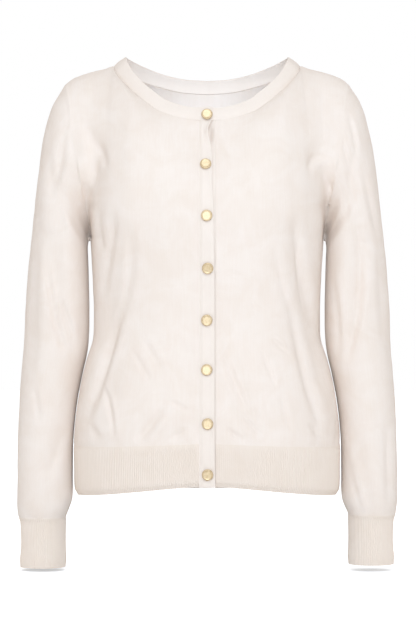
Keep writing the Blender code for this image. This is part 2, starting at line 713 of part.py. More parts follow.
def buttons():
    shared = button_mesh()
    for number, (x, z) in enumerate(zip(BUTTONS["x"], BUTTONS["z"]), 1):
        point, out = surface_at(x, z)
        if z > FRONT_TOP["z"][0]:
            station = ("front", math.copysign(1.0, x), abs(x) / CHEST_LENGTH["front"])
            lower, upper = neck_point(station, 0.0), neck_point(station, 1.0)
            rise = upper - lower
            point = neck_point(station, (z - lower[2]) / rise[2])
            out = unit(np.cross((1.0, 0.0, 0.0), rise))
        seat = point + out * (LAP_LIFT + 3 * LAP_GAP)
        piece = placed(f"button_{number}", shared)
        facing = Vector(out).to_track_quat("Z", "X")
        piece.matrix_world = Matrix.Translation(Vector(seat) * MM) @ facing.to_matrix().to_4x4()


def clear_scene():
    for item in list(bpy.data.objects):
        bpy.data.objects.remove(item)


clear_scene()
CARDIGAN = bpy.data.collections.new("button_cardigan")
bpy.context.scene.collection.children.link(CARDIGAN)

CREAM = (0.87, 0.80, 0.74)
CREAM_RIB = (0.83, 0.75, 0.67)
CREAM_BAND = (0.86, 0.79, 0.72)
PALE_GOLD = (0.86, 0.68, 0.40)
CLOTH_PIECES = {
    "front_right_panel": CREAM,
    "front_left_panel": CREAM,
    "back_panel": CREAM,
    "sleeve_right": CREAM,
    "sleeve_left": CREAM,
    "cuff_rib_right": CREAM_RIB,
    "cuff_rib_left": CREAM_RIB,
    "hem_rib_front_right": CREAM_RIB,
    "hem_rib_front_left": CREAM_RIB,
    "hem_rib_back": CREAM_RIB,
    "neckband": CREAM_BAND,
    "buttonhole_band": CREAM_BAND,
    "button_band": CREAM_BAND,
}
COLOURS = {name: plain_material(name, colour, 0.9) for name, colour in CLOTH_PIECES.items()}
COLOURS["buttons"] = plain_material("buttons", PALE_GOLD, 0.3, 1.0)

front_panel("front_right_panel", RIGHT, BAND_SEAM_X + 2 * SEAM)
front_panel("front_left_panel", LEFT, UNDER_SEAM_X + 2 * SEAM)
back_panel()
sleeve("sleeve_right", RIGHT)
sleeve("sleeve_left", LEFT)
cuff("cuff_rib_right", RIGHT)
cuff("cuff_rib_left", LEFT)
hem_front("hem_rib_front_right", RIGHT, BAND_SEAM_X + 2 * SEAM)
hem_front("hem_rib_front_left", LEFT, UNDER_SEAM_X + 2 * SEAM)
hem_back()
neckband()
band("button_band", lambda height: (-UNDER_END_X, UNDER_SEAM_X), 0.0)
band("buttonhole_band", lambda height: (-BAND_SEAM_X, read(BAND_EDGE, "z", "x", height)), LAP_LIFT)
buttons()
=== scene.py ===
# %% [markdown]
# # A fine-knit button cardigan
# The cardigan hangs filled out and hollow, as if somebody wore it. The imported model gives the cut
# and sewn pieces as plain solids. Each cell here dresses one of them in a thin shell of knitted
# cloth on the same form, with creases, ribs, seams and a knitted surface. First the solids are
# loaded.

# %% Load the solids
import json
import math

import bmesh
import bpy
import numpy as np
from mathutils import Matrix, Vector

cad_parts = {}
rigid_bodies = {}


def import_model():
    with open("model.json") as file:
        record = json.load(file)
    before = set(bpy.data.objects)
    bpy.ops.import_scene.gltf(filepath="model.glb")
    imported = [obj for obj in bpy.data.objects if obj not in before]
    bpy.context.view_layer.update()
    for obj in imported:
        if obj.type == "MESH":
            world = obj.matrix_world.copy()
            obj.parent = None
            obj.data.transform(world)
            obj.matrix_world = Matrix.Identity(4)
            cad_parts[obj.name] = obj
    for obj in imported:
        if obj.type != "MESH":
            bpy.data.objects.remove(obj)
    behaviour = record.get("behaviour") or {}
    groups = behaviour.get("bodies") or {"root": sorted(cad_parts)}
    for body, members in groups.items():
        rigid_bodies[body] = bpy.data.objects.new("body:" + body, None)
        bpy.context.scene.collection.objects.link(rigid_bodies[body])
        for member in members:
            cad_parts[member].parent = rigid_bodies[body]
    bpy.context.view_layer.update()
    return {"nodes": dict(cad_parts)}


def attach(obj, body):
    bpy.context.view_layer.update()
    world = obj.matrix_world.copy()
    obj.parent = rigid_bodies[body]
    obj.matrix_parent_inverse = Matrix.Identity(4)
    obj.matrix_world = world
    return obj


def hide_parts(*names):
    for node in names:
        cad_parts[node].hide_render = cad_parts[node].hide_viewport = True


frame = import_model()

MM = 0.001
RIGHT, LEFT = -1.0, 1.0  # the wearer's sides
print("solids:", len(frame["nodes"]), "nodes")

# %% [markdown]
# ## Camera
# The camera stands straight in front of the cardigan at half of its height, far enough away for a
# long lens, so that the sleeves aren't drawn larger than the body. A long lens could be set by its
# focal length alone, but it is easier to say how many metres the frame takes in at the cardigan,
# and to work the lens out from that.

# %% Camera
DISTANCE = 3.1
MIDDLE_X, MIDDLE_HEIGHT = 0.0013, -0.337
FRAME_HEIGHT = 0.8237
SENSOR_HEIGHT = 24.0  # mm


def add_object(name, data):
    made = bpy.data.objects.new(name, data)
    bpy.context.scene.collection.objects.link(made)
    return made


lens = bpy.data.cameras.new("camera")
lens.sensor_fit = "VERTICAL"
lens.sensor_height = SENSOR_HEIGHT
lens.lens = SENSOR_HEIGHT * DISTANCE / FRAME_HEIGHT
camera = add_object("camera", lens)
camera.location = (MIDDLE_X, -DISTANCE, MIDDLE_HEIGHT)
camera.rotation_euler = (math.pi / 2, 0.0, 0.0)
bpy.context.scene.camera = camera
print("lens:", round(lens.lens, 1), "mm")

# %% [markdown]
# ## Nodes
# The room, the floor and every finish are trees of nodes. Helpers that add a node, a sum, a mix of
# colours or a material let the cells below read as formulas. In the editor the same numbers are
# spread over many panels.

# %% Node helpers
MIX_LOW, MIX_HIGH, MIX_RESULT = 6, 7, 2  # the mix node's sockets for colours


def set_inputs(tree, target, inputs):
    """Sets or links a node's inputs, by name or position."""
    for key, value in inputs.items():
        socket = target.inputs[key]
        if isinstance(value, bpy.types.NodeSocket):
            tree.links.new(value, socket)
        elif socket.type == "RGBA":
            socket.default_value = (*value, 1.0)
        else:
            socket.default_value = value


def node(tree, kind, inputs, **properties):
    made = tree.nodes.new(kind)
    for key, value in properties.items():
        setattr(made, key, value)
    set_inputs(tree, made, inputs)
    return made


def maths(tree, operation, a, b):
    return node(tree, "ShaderNodeMath", {0: a, 1: b}, operation=operation).outputs[0]


def blended(tree, share, low, high):
    inputs = {0: share, MIX_LOW: low, MIX_HIGH: high}
    return node(tree, "ShaderNodeMix", inputs, data_type="RGBA").outputs[MIX_RESULT]


def new_material(name):
    material = bpy.data.materials.new(name)
    material.use_nodes = True
    return material, material.node_tree, material.node_tree.nodes["Principled BSDF"]


# %% [markdown]
# ## Studio
# A shop's studio is nearly all white. A bright, slightly warm room does most of the work, so that
# no shadow is hard. Two soft boxes in front brighten the chest, and a third lights the back. A
# small light inside stands for the light that thin cloth lets through. The floor lies just below
# the cuffs.

# %% Room
WHITE = (1.0, 1.0, 1.0)
PAPER_LIGHT = 1.0  # of the room as it is seen
ROOM_LIGHT = 0.7  # of the room as it lights the cloth
ROOM_TINT = (1.0, 0.972, 0.942)
bpy.context.scene.view_settings.view_transform = "Standard"
room = bpy.data.worlds.new("room")
room.use_nodes = True
bpy.context.scene.world = room
room_tree = room.node_tree
paper = room_tree.nodes["Background"]
set_inputs(room_tree, paper, {"Color": WHITE, "Strength": PAPER_LIGHT})
fill = node(room_tree, "ShaderNodeBackground", {"Color": ROOM_TINT, "Strength": ROOM_LIGHT})
is_seen = node(room_tree, "ShaderNodeLightPath", {}).outputs["Is Camera Ray"]
shares = {0: is_seen, 1: fill.outputs[0], 2: paper.outputs[0]}
either = node(room_tree, "ShaderNodeMixShader", shares)
set_inputs(room_tree, room_tree.nodes["World Output"], {"Surface": either.outputs[0]})
print("room:", len(room_tree.nodes), "nodes")

# %% Soft lights
LAMP_TINT = (0.9, 1.08, 1.29)  # cool, against the warm room
MIDDLE = (0.0, 0.0, -0.3)
LAMPS = (  # name, place, aim, width and height in metres, watts
    ("high_softbox", (0.1, -2.7, 1.5), MIDDLE, 1.6, 1.6, 30.0),
    ("low_softbox", (0.1, -3.3, 0.15), MIDDLE, 1.4, 1.4, 18.5),
    ("back_softbox", (0.1, 2.9, 1.3), MIDDLE, 1.6, 1.6, 20.0),
    ("inner_light", (0.0, -0.035, -0.15), (0.0, 0.078, -0.05), 0.16, 0.06, 0.12),
)
for name, place, aim, width, height, power in LAMPS:
    lamp = bpy.data.lights.new(name, "AREA")
    lamp.shape = "RECTANGLE"
    lamp.size, lamp.size_y = width, height
    lamp.energy, lamp.color = power, LAMP_TINT
    light = add_object(name, lamp)
    light.location = place
    light.rotation_euler = (Vector(aim) - Vector(place)).to_track_quat("-Z", "Y").to_euler()
    light.visible_camera = False
print("lamps:", len(LAMPS))

# %% Floor
FLOOR_Z, FLOOR_SIZE = -0.675, 14.0
FLOOR_COLOUR, FLOOR_ROUGHNESS = (0.93, 0.93, 0.935), 0.9
FLOOR_GLOW = 0.5  # melts it into the room
floor_mesh = bmesh.new()
below = Matrix.Translation((0.0, 0.0, FLOOR_Z))
bmesh.ops.create_grid(floor_mesh, x_segments=1, y_segments=1, size=FLOOR_SIZE / 2, matrix=below)
floor_data = bpy.data.meshes.new("floor")
floor_mesh.to_mesh(floor_data)
floor_mesh.free()
floor = add_object("floor", floor_data)
pale, pale_tree, pale_shader = new_material("pale_floor")
is_seen = node(pale_tree, "ShaderNodeLightPath", {}).outputs["Is Camera Ray"]
set_inputs(pale_tree, pale_shader, {
    "Base Color": FLOOR_COLOUR,
    "Roughness": FLOOR_ROUGHNESS,
    "Emission Color": WHITE,
    "Emission Strength": maths(pale_tree, "MULTIPLY", is_seen, FLOOR_GLOW),
})
floor_data.materials.append(pale)
print("floor:", FLOOR_SIZE, "m wide at", FLOOR_Z)

# %% [markdown]
# ## The form in tables
# A pattern cutter knows a garment by its measurements at a few levels. The same measurements, in
# millimetres, shape these shells: sections of the body, the neck, shoulders and armholes, and
# stations down the sleeve. A smooth curve runs through each column. Sculpting would start quicker,
# but then seams wouldn't meet.

# %% Measurements
CHEST_Z = -241.0
HEM_CENTRE_Z, HEM_DIP = -560.0, 17.0  # the dip is how much lower the sides hang
RIB_TOP_CENTRE_Z, RIB_TOP_DIP = -505.0, 7.0
SECTION_POWER, SLEEVE_POWER = 2.3, 2.15  # 2 is an ellipse, and more is squarer
KNIT, RIB_KNIT, BAND_KNIT = 1.5, 1.3, 1.8  # thickness of the cloth
LAP_GAP = 0.3
LAP_LIFT = LAP_GAP + BAND_KNIT  # of what lies on top at the front
UPPER_END_X, UNDER_END_X = 8.0, 8.5  # how far each end goes past the centre
BAND_SEAM_X, UNDER_SEAM_X = 10.3, 10.9  # where each front is sewn to its band
NECK_POINT = 0.65  # share of the width where the neckline meets the shoulder seam
CUFF_START = 16  # station of the sleeve where its cuff begins
SLEEVE_DROP = {RIGHT: -2.5, LEFT: 1.5}  # one sleeve hangs lower than the other
SLEEVE_LENGTH = 430.0  # below the chest, for that drop
print("length below the chest:", CHEST_Z - HEM_CENTRE_Z, "mm")

# %% Sections of the body and its upper edges
BODY_SECTIONS = {
    "z": (-590, -578, -566, -540, -506, -479, -453, -426, -400, -374, -347, -310, -275, -241),
    "half_width": (
        170, 172.5, 174, 174.5, 175, 173.5, 170, 165.5, 159, 151, 149.5, 150, 151.5, 154,
    ),
    "front": (110, 111, 112, 113, 114, 113.5, 112, 110, 107.5, 105.5, 105, 108, 113, 118),
    "back": (100, 102, 103, 104, 105, 102.5, 98, 93, 87.5, 82.5, 80.5, 84, 91.5, 99),
}
FRONT_TOP = {
    "share": (
        0, 0.056, 0.11, 0.23, 0.31, 0.375, 0.45, 0.51,
        0.575, 0.62, 0.65, 0.70, 0.76, 0.86, 0.93, 1.0,
    ),
    "x": (0, 12, 24, 49, 65, 77, 90, 101, 113.5, 121.5, 123.5, 135, 149, 168, 178, 188),
    "y": (-76, -75.5, -74.5, -69, -63, -57, -48, -38, -22, -6, 8, 8, 7.5, 7, 6.5, 6),
    "z": (
        -90, -89.8, -88.5, -82, -75, -66, -55.5, -45, -31, -19, -12, -15.2, -18.8, -24.5, -29, -37,
    ),
}
BACK_TOP = {
    "share": (0, 0.16, 0.30, 0.42, 0.52, 0.59, 0.65, 0.70, 0.76, 0.86, 0.93, 1.0),
    "x": (0, 35, 65, 90, 108, 119.5, 123.5, 135, 149, 168, 178, 188),
    "y": (78, 74, 63, 49, 33, 19, 8, 8, 7.5, 7, 6.5, 6),
    "z": (-43, -40.5, -34, -27, -19.5, -14.5, -12, -15.2, -18.8, -24.5, -29, -37),
}
print("widest section of the body:", 2 * max(BODY_SECTIONS["half_width"]), "mm")

# %% Armholes and sleeves
ARMHOLE_FRONT = {
    "angle": (0, 8, 25, 45, 65, 90, 115, 140, 160, 180),
    "x": (188, 187.7, 185, 180.5, 177.5, 171.5, 163.5, 157, 154.5, 154),
    "y": (6, 0, -14, -30, -41, -49, -50, -39, -21, 0),
    "z": (-37, -37.8, -45, -66, -97, -140, -182, -217, -235, -241),
}
ARMHOLE_BACK = {
    "angle": (0, 8, 25, 45, 65, 90, 115, 140, 160, 180),
    "x": (188, 187.7, 184.5, 180, 175.5, 169, 162.5, 157, 154.5, 154),
    "y": (6, 12, 25, 39, 48, 53, 49, 37, 19, 0),
    "z": (-37, -37.8, -46, -69, -101, -142, -184, -218, -235, -241),
}
SLEEVE_SECTIONS = {
    "inner_x": (
        154, 156.5, 157, 157.5, 157.5, 157, 156.5, 156, 155.5, 157,
        166.5, 174, 178.5, 179, 179, 181.5, 185.5, 186, 186, 184.5,
    ),
    "inner_z": (
        -241, -244, -247, -251, -257, -266, -280, -302, -335, -375,
        -415, -455, -500, -545, -575, -592, -604, -612, -640, -668,
    ),
    "outer_x": (
        188, 204, 213, 219, 223.5, 228, 233, 237, 240, 242.5, 245.5,
        248, 249.5, 250, 250, 249.5, 247, 244.5, 243.3, 245.5,
    ),
    "outer_z": (
        -37, -64, -95, -125, -160, -200, -243, -285, -330, -375,
        -415, -455, -500, -545, -575, -592, -604, -612, -640, -668,
    ),
    "middle_y": (2, 2, 2, 2, 1, 1, 1, 2, 4, 7, 8, 6, 2, -4, -8, -11, -13, -14, -18, -22),
    "forward": (50, 51, 52, 51, 51, 50, 49, 48, 46, 43, 41, 39, 37, 36, 35, 33.5, 30, 28, 26, 27.5),
    "backward": (
        51, 52, 51, 51, 50, 49, 48, 46, 44, 43, 41, 39, 37, 35, 34, 32.5, 29, 27, 25, 26.5,
    ),
}
SLEEVE_SECTIONS["station"] = tuple(range(len(SLEEVE_SECTIONS["inner_x"])))
print("widest place over the sleeves:", 2 * max(SLEEVE_SECTIONS["outer_x"]), "mm")

# %% Edges of the neckband and front band
NECK_EDGE_FRONT = {
    "share": (0, 0.11, 0.23, 0.31, 0.375, 0.45, 0.51, 0.575, 0.62, 0.65),
    "x": (0, 21, 43, 57, 67, 79, 89, 99.5, 106, 107.5),
    "y": (-70.5, -69, -63, -57, -52, -44, -35, -21, -6, 8),
    "z": (-73.5, -72.5, -66.5, -60, -52, -42, -32, -18, -4.5, 0.5),
}
NECK_EDGE_BACK = {
    "share": (0, 0.16, 0.30, 0.42, 0.52, 0.59, 0.65),
    "x": (0, 31.5, 58, 80, 95.5, 104.5, 107.5),
    "y": (73, 69.5, 58.5, 45, 30.5, 18, 8),
    "z": (-25, -23, -18, -11, -5, -1, 0.5),
}
BAND_EDGE = {
    "z": (-560, -540, -440, -255, -195, -175, -131, -122, -112, -104, -97, -90),
    "x": (10.6, 10, 9.5, 8.9, 7.6, 6.4, 6.0, 4.4, 1.8, 1.2, 3.6, 6.6),
}
print("width of the neck:", 2 * NECK_EDGE_FRONT["x"][-1], "mm")

# %% [markdown]
# ## Reading the tables
# Each piece has thousands of points, so the functions work on whole arrays at once. The body's
# section is a rounded oval. Equal steps of its angle would crowd at the sides, so the section is
# measured along its length first, as a tape would do it.

# %% Curves through the tables
def read(table, key, column, at):
    """Smooth readings of one column of a table, through its points."""
    keys, values = np.array(table[key], float), np.array(table[column], float)
    slopes = np.gradient(values, keys)
    at = np.clip(at, keys[0], keys[-1])
    i = np.clip(np.searchsorted(keys, at, side="right") - 1, 0, len(keys) - 2)
    step = keys[i + 1] - keys[i]
    t = (at - keys[i]) / step
    start = values[i] * (1 + 2 * t) * (1 - t) ** 2 + slopes[i] * step * t * (1 - t) ** 2
    return start + values[i + 1] * (3 - 2 * t) * t**2 - slopes[i + 1] * step * (1 - t) * t**2


def read_point(table, key, at):
    return np.stack([read(table, key, axis, at) for axis in "xyz"], axis=-1)


def smooth_step(value):
    value = np.clip(value, 0.0, 1.0)
    return value * value * (3 - 2 * value)


def unit(vectors):
    return vectors / np.linalg.norm(vectors, axis=-1, keepdims=True)


# %% Sections at even steps
LEVEL_COUNT, SHARE_COUNT = 140, 240
LEVELS = np.linspace(BODY_SECTIONS["z"][0], BODY_SECTIONS["z"][-1], LEVEL_COUNT)
SHARES = np.linspace(0.0, 1.0, SHARE_COUNT)


def even_sections(half):
    """Points at even steps along a quarter of each level's section, and that quarter's length."""
    angle = SHARES * math.pi / 2
    points = np.empty((len(LEVELS), len(SHARES), 2))
    lengths = np.empty(len(LEVELS))
    for row, level in enumerate(LEVELS):
        x = read(BODY_SECTIONS, "z", "half_width", level) * np.sin(angle) ** (2 / SECTION_POWER)
        y = read(BODY_SECTIONS, "z", half, level) * np.cos(angle) ** (2 / SECTION_POWER)
        along = np.concatenate(([0.0], np.cumsum(np.hypot(np.diff(x), np.diff(y)))))
        lengths[row] = along[-1]
        points[row, :, 0] = np.interp(SHARES * along[-1], along, x)
        points[row, :, 1] = np.interp(SHARES * along[-1], along, y)
    return points, lengths


SECTIONS = {half: even_sections(half) for half in ("front", "back")}
CHEST_LENGTH = {half: SECTIONS[half][1][-1] for half in SECTIONS}
print("half girths at the chest:", [round(float(2 * length)) for length in CHEST_LENGTH.values()])

# %% [markdown]
# ## The body's surface
# Below the chest the surface runs through the sections. Above it, each column of the cloth bends up
# to the neck or the shoulder on a Bézier curve, and the edge's corner at the neck point fades out
# below it.

# %% The body below the chest
FORWARD = {"front": -1.0, "back": 1.0}
HEM_CURVE = 1.3  # above 1, the front hem stays level for longer before it dips
LAST_STEP = 1.001  # keeps a reading just inside the last level and share


def section_point(half, z, along):
    """Points of the body below the chest, by height and by distance in mm from the centre."""
    points, lengths = SECTIONS[half]
    length = np.interp(z, LEVELS, lengths)
    i = np.clip((z - LEVELS[0]) / (LEVELS[1] - LEVELS[0]), 0, LEVEL_COUNT - LAST_STEP)
    j = np.clip(along / length, 0, 1) * (SHARE_COUNT - LAST_STEP)
    i0, j0 = i.astype(int), j.astype(int)
    s, t = (i - i0)[..., None], (j - j0)[..., None]
    low = points[i0, j0] * (1 - t) + points[i0, j0 + 1] * t
    high = points[i0 + 1, j0] * (1 - t) + points[i0 + 1, j0 + 1] * t
    flat = low * (1 - s) + high * s
    return np.stack((flat[..., 0], flat[..., 1] * FORWARD[half], z + 0 * flat[..., 0]), axis=-1)


def body_level(half, level, share):
    """Heights below the chest: level -1 is the hem, 0 the top of the ribs and 1 the chest."""
    turn = np.sin(math.pi / 2 * np.clip(share, 0, 1)) if half == "front" else np.ones_like(share)
    hem = HEM_CENTRE_Z - HEM_DIP * turn**HEM_CURVE
    rib_top = RIB_TOP_CENTRE_Z - RIB_TOP_DIP * turn
    below = rib_top + (rib_top - hem) * level
    above = rib_top + (CHEST_Z - rib_top) * level
    return np.where(level < 0, below, above)


# %% The body above the chest
CORNER_SHIFTS = (-0.12, -0.08, -0.04, 0.0, 0.04, 0.08, 0.12)
CORNER_FADE = 9
CORNER_ENDS = (0.35, 0.2)  # shares of the width over which the softened edge sets in and ends
NECK_LEAN = {"front": 70, "back": 73}  # degrees that the cloth leans at the neckline
NECK_PULL = {"front": 48.0, "back": 55.0}
CHEST_PULL, CHEST_STEP = 0.36, 4


def armhole(half, angle):
    return read_point(ARMHOLE_FRONT if half == "front" else ARMHOLE_BACK, "angle", angle)


def top_edge(table, share, t):
    """The upper edge as a column feels it: its corner at the neck point fades out below it."""
    sharp = read_point(table, "share", share)
    soft = sum(read_point(table, "share", np.clip(share + shift, 0, 1)) for shift in CORNER_SHIFTS)
    soft = soft / len(CORNER_SHIFTS)
    inside = smooth_step(share / CORNER_ENDS[0]) * smooth_step((1 - share) / CORNER_ENDS[1])
    return sharp + (soft - sharp) * (inside * (1 - t**CORNER_FADE))[..., None]


def yoke_column(half, share, t):
    """Columns from the chest to the neckline or the shoulder seam."""
    chest = np.full_like(share, CHEST_Z)
    start = section_point(half, chest, share * CHEST_LENGTH[half])
    lower_length = np.interp(CHEST_Z - CHEST_STEP, LEVELS, SECTIONS[half][1])
    below = section_point(half, chest - CHEST_STEP, share * lower_length)
    end = top_edge(FRONT_TOP if half == "front" else BACK_TOP, share, t)
    lean = math.radians(NECK_LEAN[half]) * (1 - smooth_step(share / NECK_POINT))
    arrive = np.stack((0 * lean, -FORWARD[half] * np.cos(lean), np.sin(lean)), axis=-1)
    reach = np.linalg.norm(end - start, axis=-1, keepdims=True)
    start_pull = start + unit(start - below) * reach * CHEST_PULL
    end_pull = end - arrive * NECK_PULL[half]
    t, s = t[..., None], 1 - t[..., None]
    return start * s**3 + start_pull * 3 * s * s * t + end_pull * 3 * s * t * t + end * t**3


print("neck point:", read_point(FRONT_TOP, "share", NECK_POINT).tolist())

# %% [markdown]
# ## Under the arms
# Where an arm hangs down, the cloth beside the lower armhole folds into a deep slit. One function
# pushes body and sleeve in, by their distance from the armhole, so that they don't part as
# simulated cloth might.

# %% Slit under the arm
VALLEY_ANGLES = np.linspace(98.0, 180.0, 90)  # of the armhole, from its front to its lowest point
VALLEY_DEPTH = {"front": 36.0, "back": 8.0}
VALLEY_WIDTH = 9.5
VALLEY_SIDES = {"body": 1.1, "sleeve": 1.8}  # how much wider it is towards each
VALLEY_ENDS = (0.62, 0.34)  # shares of its length over which it deepens and runs out
VALLEY_X, VALLEY_BOTTOM, VALLEY_TOP = 105, -300, -95  # nothing moves outside these


def underarm(half, points):
    """Pushes points beside the lower armhole in."""
    line = armhole(half, VALLEY_ANGLES)
    share = (VALLEY_ANGLES - VALLEY_ANGLES[0]) / (VALLEY_ANGLES[-1] - VALLEY_ANGLES[0])
    ends = smooth_step(share / VALLEY_ENDS[0]) * smooth_step((1 - share) / VALLEY_ENDS[1])
    depth = VALLEY_DEPTH[half] * ends
    height = points[..., 2]
    near = (points[..., 0] > VALLEY_X) & (height > VALLEY_BOTTOM) & (height < VALLEY_TOP)
    step = np.diff(line, axis=0)
    gap = points[near][:, None] - line[:-1]
    along = np.clip((gap * step).sum(axis=-1) / (step**2).sum(axis=-1), 0, 1)
    gap -= along[..., None] * step
    gap[..., 0] /= np.where(gap[..., 0] > 0, VALLEY_SIDES["sleeve"], VALLEY_SIDES["body"])
    push = (depth[:-1] + along * np.diff(depth)) * np.exp(-(gap**2).sum(axis=-1) / VALLEY_WIDTH**2)
    moved = points.copy()
    moved[near, 1] -= FORWARD[half] * push.max(axis=-1)
    return moved


print("deepest place of a slit:", VALLEY_DEPTH["front"], "mm")

# %% The whole body
ARMHOLE_FADE = 4  # the greater, the fewer columns are drawn to the armhole


def yoke_point(half, share, t):
    """Points from the chest up, with the outermost columns drawn to the armhole."""
    edge = armhole(half, 180 * (1 - t)) - yoke_column(half, np.ones_like(share), t)
    return underarm(half, yoke_column(half, share, t) + edge * share[..., None] ** ARMHOLE_FADE)


def body_surface(half, level, along_share, start=0.0):
    """The outer surface on the +X side, from `start` mm beside the centre line, up to level 2."""
    z = body_level(half, level, along_share)
    length = np.interp(z, LEVELS, SECTIONS[half][1])
    low = underarm(half, section_point(half, z, start + along_share * (length - start)))
    offset = start / CHEST_LENGTH[half]
    high = yoke_point(half, offset + along_share * (1 - offset), np.clip(level - 1, 0, 1))
    return np.where((level <= 1)[..., None], low, high)


SHOULDER_POINT = body_surface("front", np.array([2.0]), np.array([1.0]))[0]
print("shoulder point:", SHOULDER_POINT.round(1).tolist())

# %% The sleeve's surface
CAP_SECTIONS = 5.0  # stations over which the armhole's outline fades into the sleeve's sections


def sleeve_side(x, z, station):
    """The line down one side of the sleeve, from its columns for x and z."""
    columns = (x, "middle_y", z)
    return np.stack([read(SLEEVE_SECTIONS, "station", column, station) for column in columns], -1)


def rounded(wave):
    return np.copysign(np.abs(wave) ** (2 / SLEEVE_POWER), wave)


def sleeve_section(station, angle):
    """Points round the sleeve on the +X side: angle 0 is outermost, 90 in front, 180 innermost."""
    turn = np.radians(angle)
    inner = sleeve_side("inner_x", "inner_z", station)
    outer = sleeve_side("outer_x", "outer_z", station)
    forward = read(SLEEVE_SECTIONS, "station", "forward", station)
    backward = read(SLEEVE_SECTIONS, "station", "backward", station)
    depth = np.where(np.sin(turn) > 0, forward, backward)
    wide, deep = rounded(np.cos(turn))[..., None], rounded(np.sin(turn))
    away = np.stack((0 * deep, -depth * deep, 0 * deep), axis=-1)
    return (inner + outer) / 2 + (outer - inner) / 2 * wide + away


def sleeve_surface(station, angle):
    """The sleeve's surface, which starts on the armhole's own outline."""
    fade = (1 - smooth_step(station / CAP_SECTIONS))[..., None]
    in_front = (angle <= 180)[..., None]
    seam = np.where(in_front, armhole("front", angle), armhole("back", 360 - angle))
    points = sleeve_section(station, angle) + (seam - sleeve_section(0 * station, angle)) * fade
    return np.where(in_front, underarm("front", points), underarm("back", points))


print("armhole:", np.round(armhole("front", np.array([0.0, 90.0, 180.0]))).tolist())

# %% [markdown]
# ## Folds and creases
# Cloth that hangs from the shoulders keeps long soft folds from the armholes to the hem, and thin
# sleeves crease at the elbow. The large folds are the same as in the solids. The smaller creases
# are placed one by one, each with its two ends in the front view and how far it bows sideways. The
# cloth that is pushed out of a trough has to go somewhere, so each crease has a ridge beside it.
# Simulation makes folds too, but not at chosen places.

# %% Folds
FOLDS = {  # by surface: x and z of both ends, half width, depth
    "front": (
        (-119, -235, -133, -440, 15, 3.5),
        (-70, -180, -96, -330, 18, 1.8),
        (-139, -126, -148, -196, 12, 4),
        (143, -130, 153, -198, 12, 4),
        (115, -235, 144, -425, 15, 3.5),
        (45, -400, 80, -480, 14, 2.2),
        (-60, -440, -30, -390, 14, 2.2),
    ),
    "back": (
        (-118, -240, -132, -430, 16, 3.5),
        (117, -240, 130, -420, 16, 3.5),
        (-40, -330, -75, -470, 20, 2.5),
        (38, -340, 70, -480, 20, 2.5),
    ),
    "sleeve_right": (
        (-209, -240, -184, -378, 13, 4.5),
        (-172, -450, -206, -540, 13, 3.5),
        (-190, -140, -196, -300, 12, 2.5),
    ),
    "sleeve_left": (
        (206, -250, 181, -385, 13, 4.5),
        (186, -500, 210, -590, 13, 3.5),
        (189, -140, 196, -310, 12, 2.5),
    ),
}
print("folds:", sum(len(rows) for rows in FOLDS.values()))

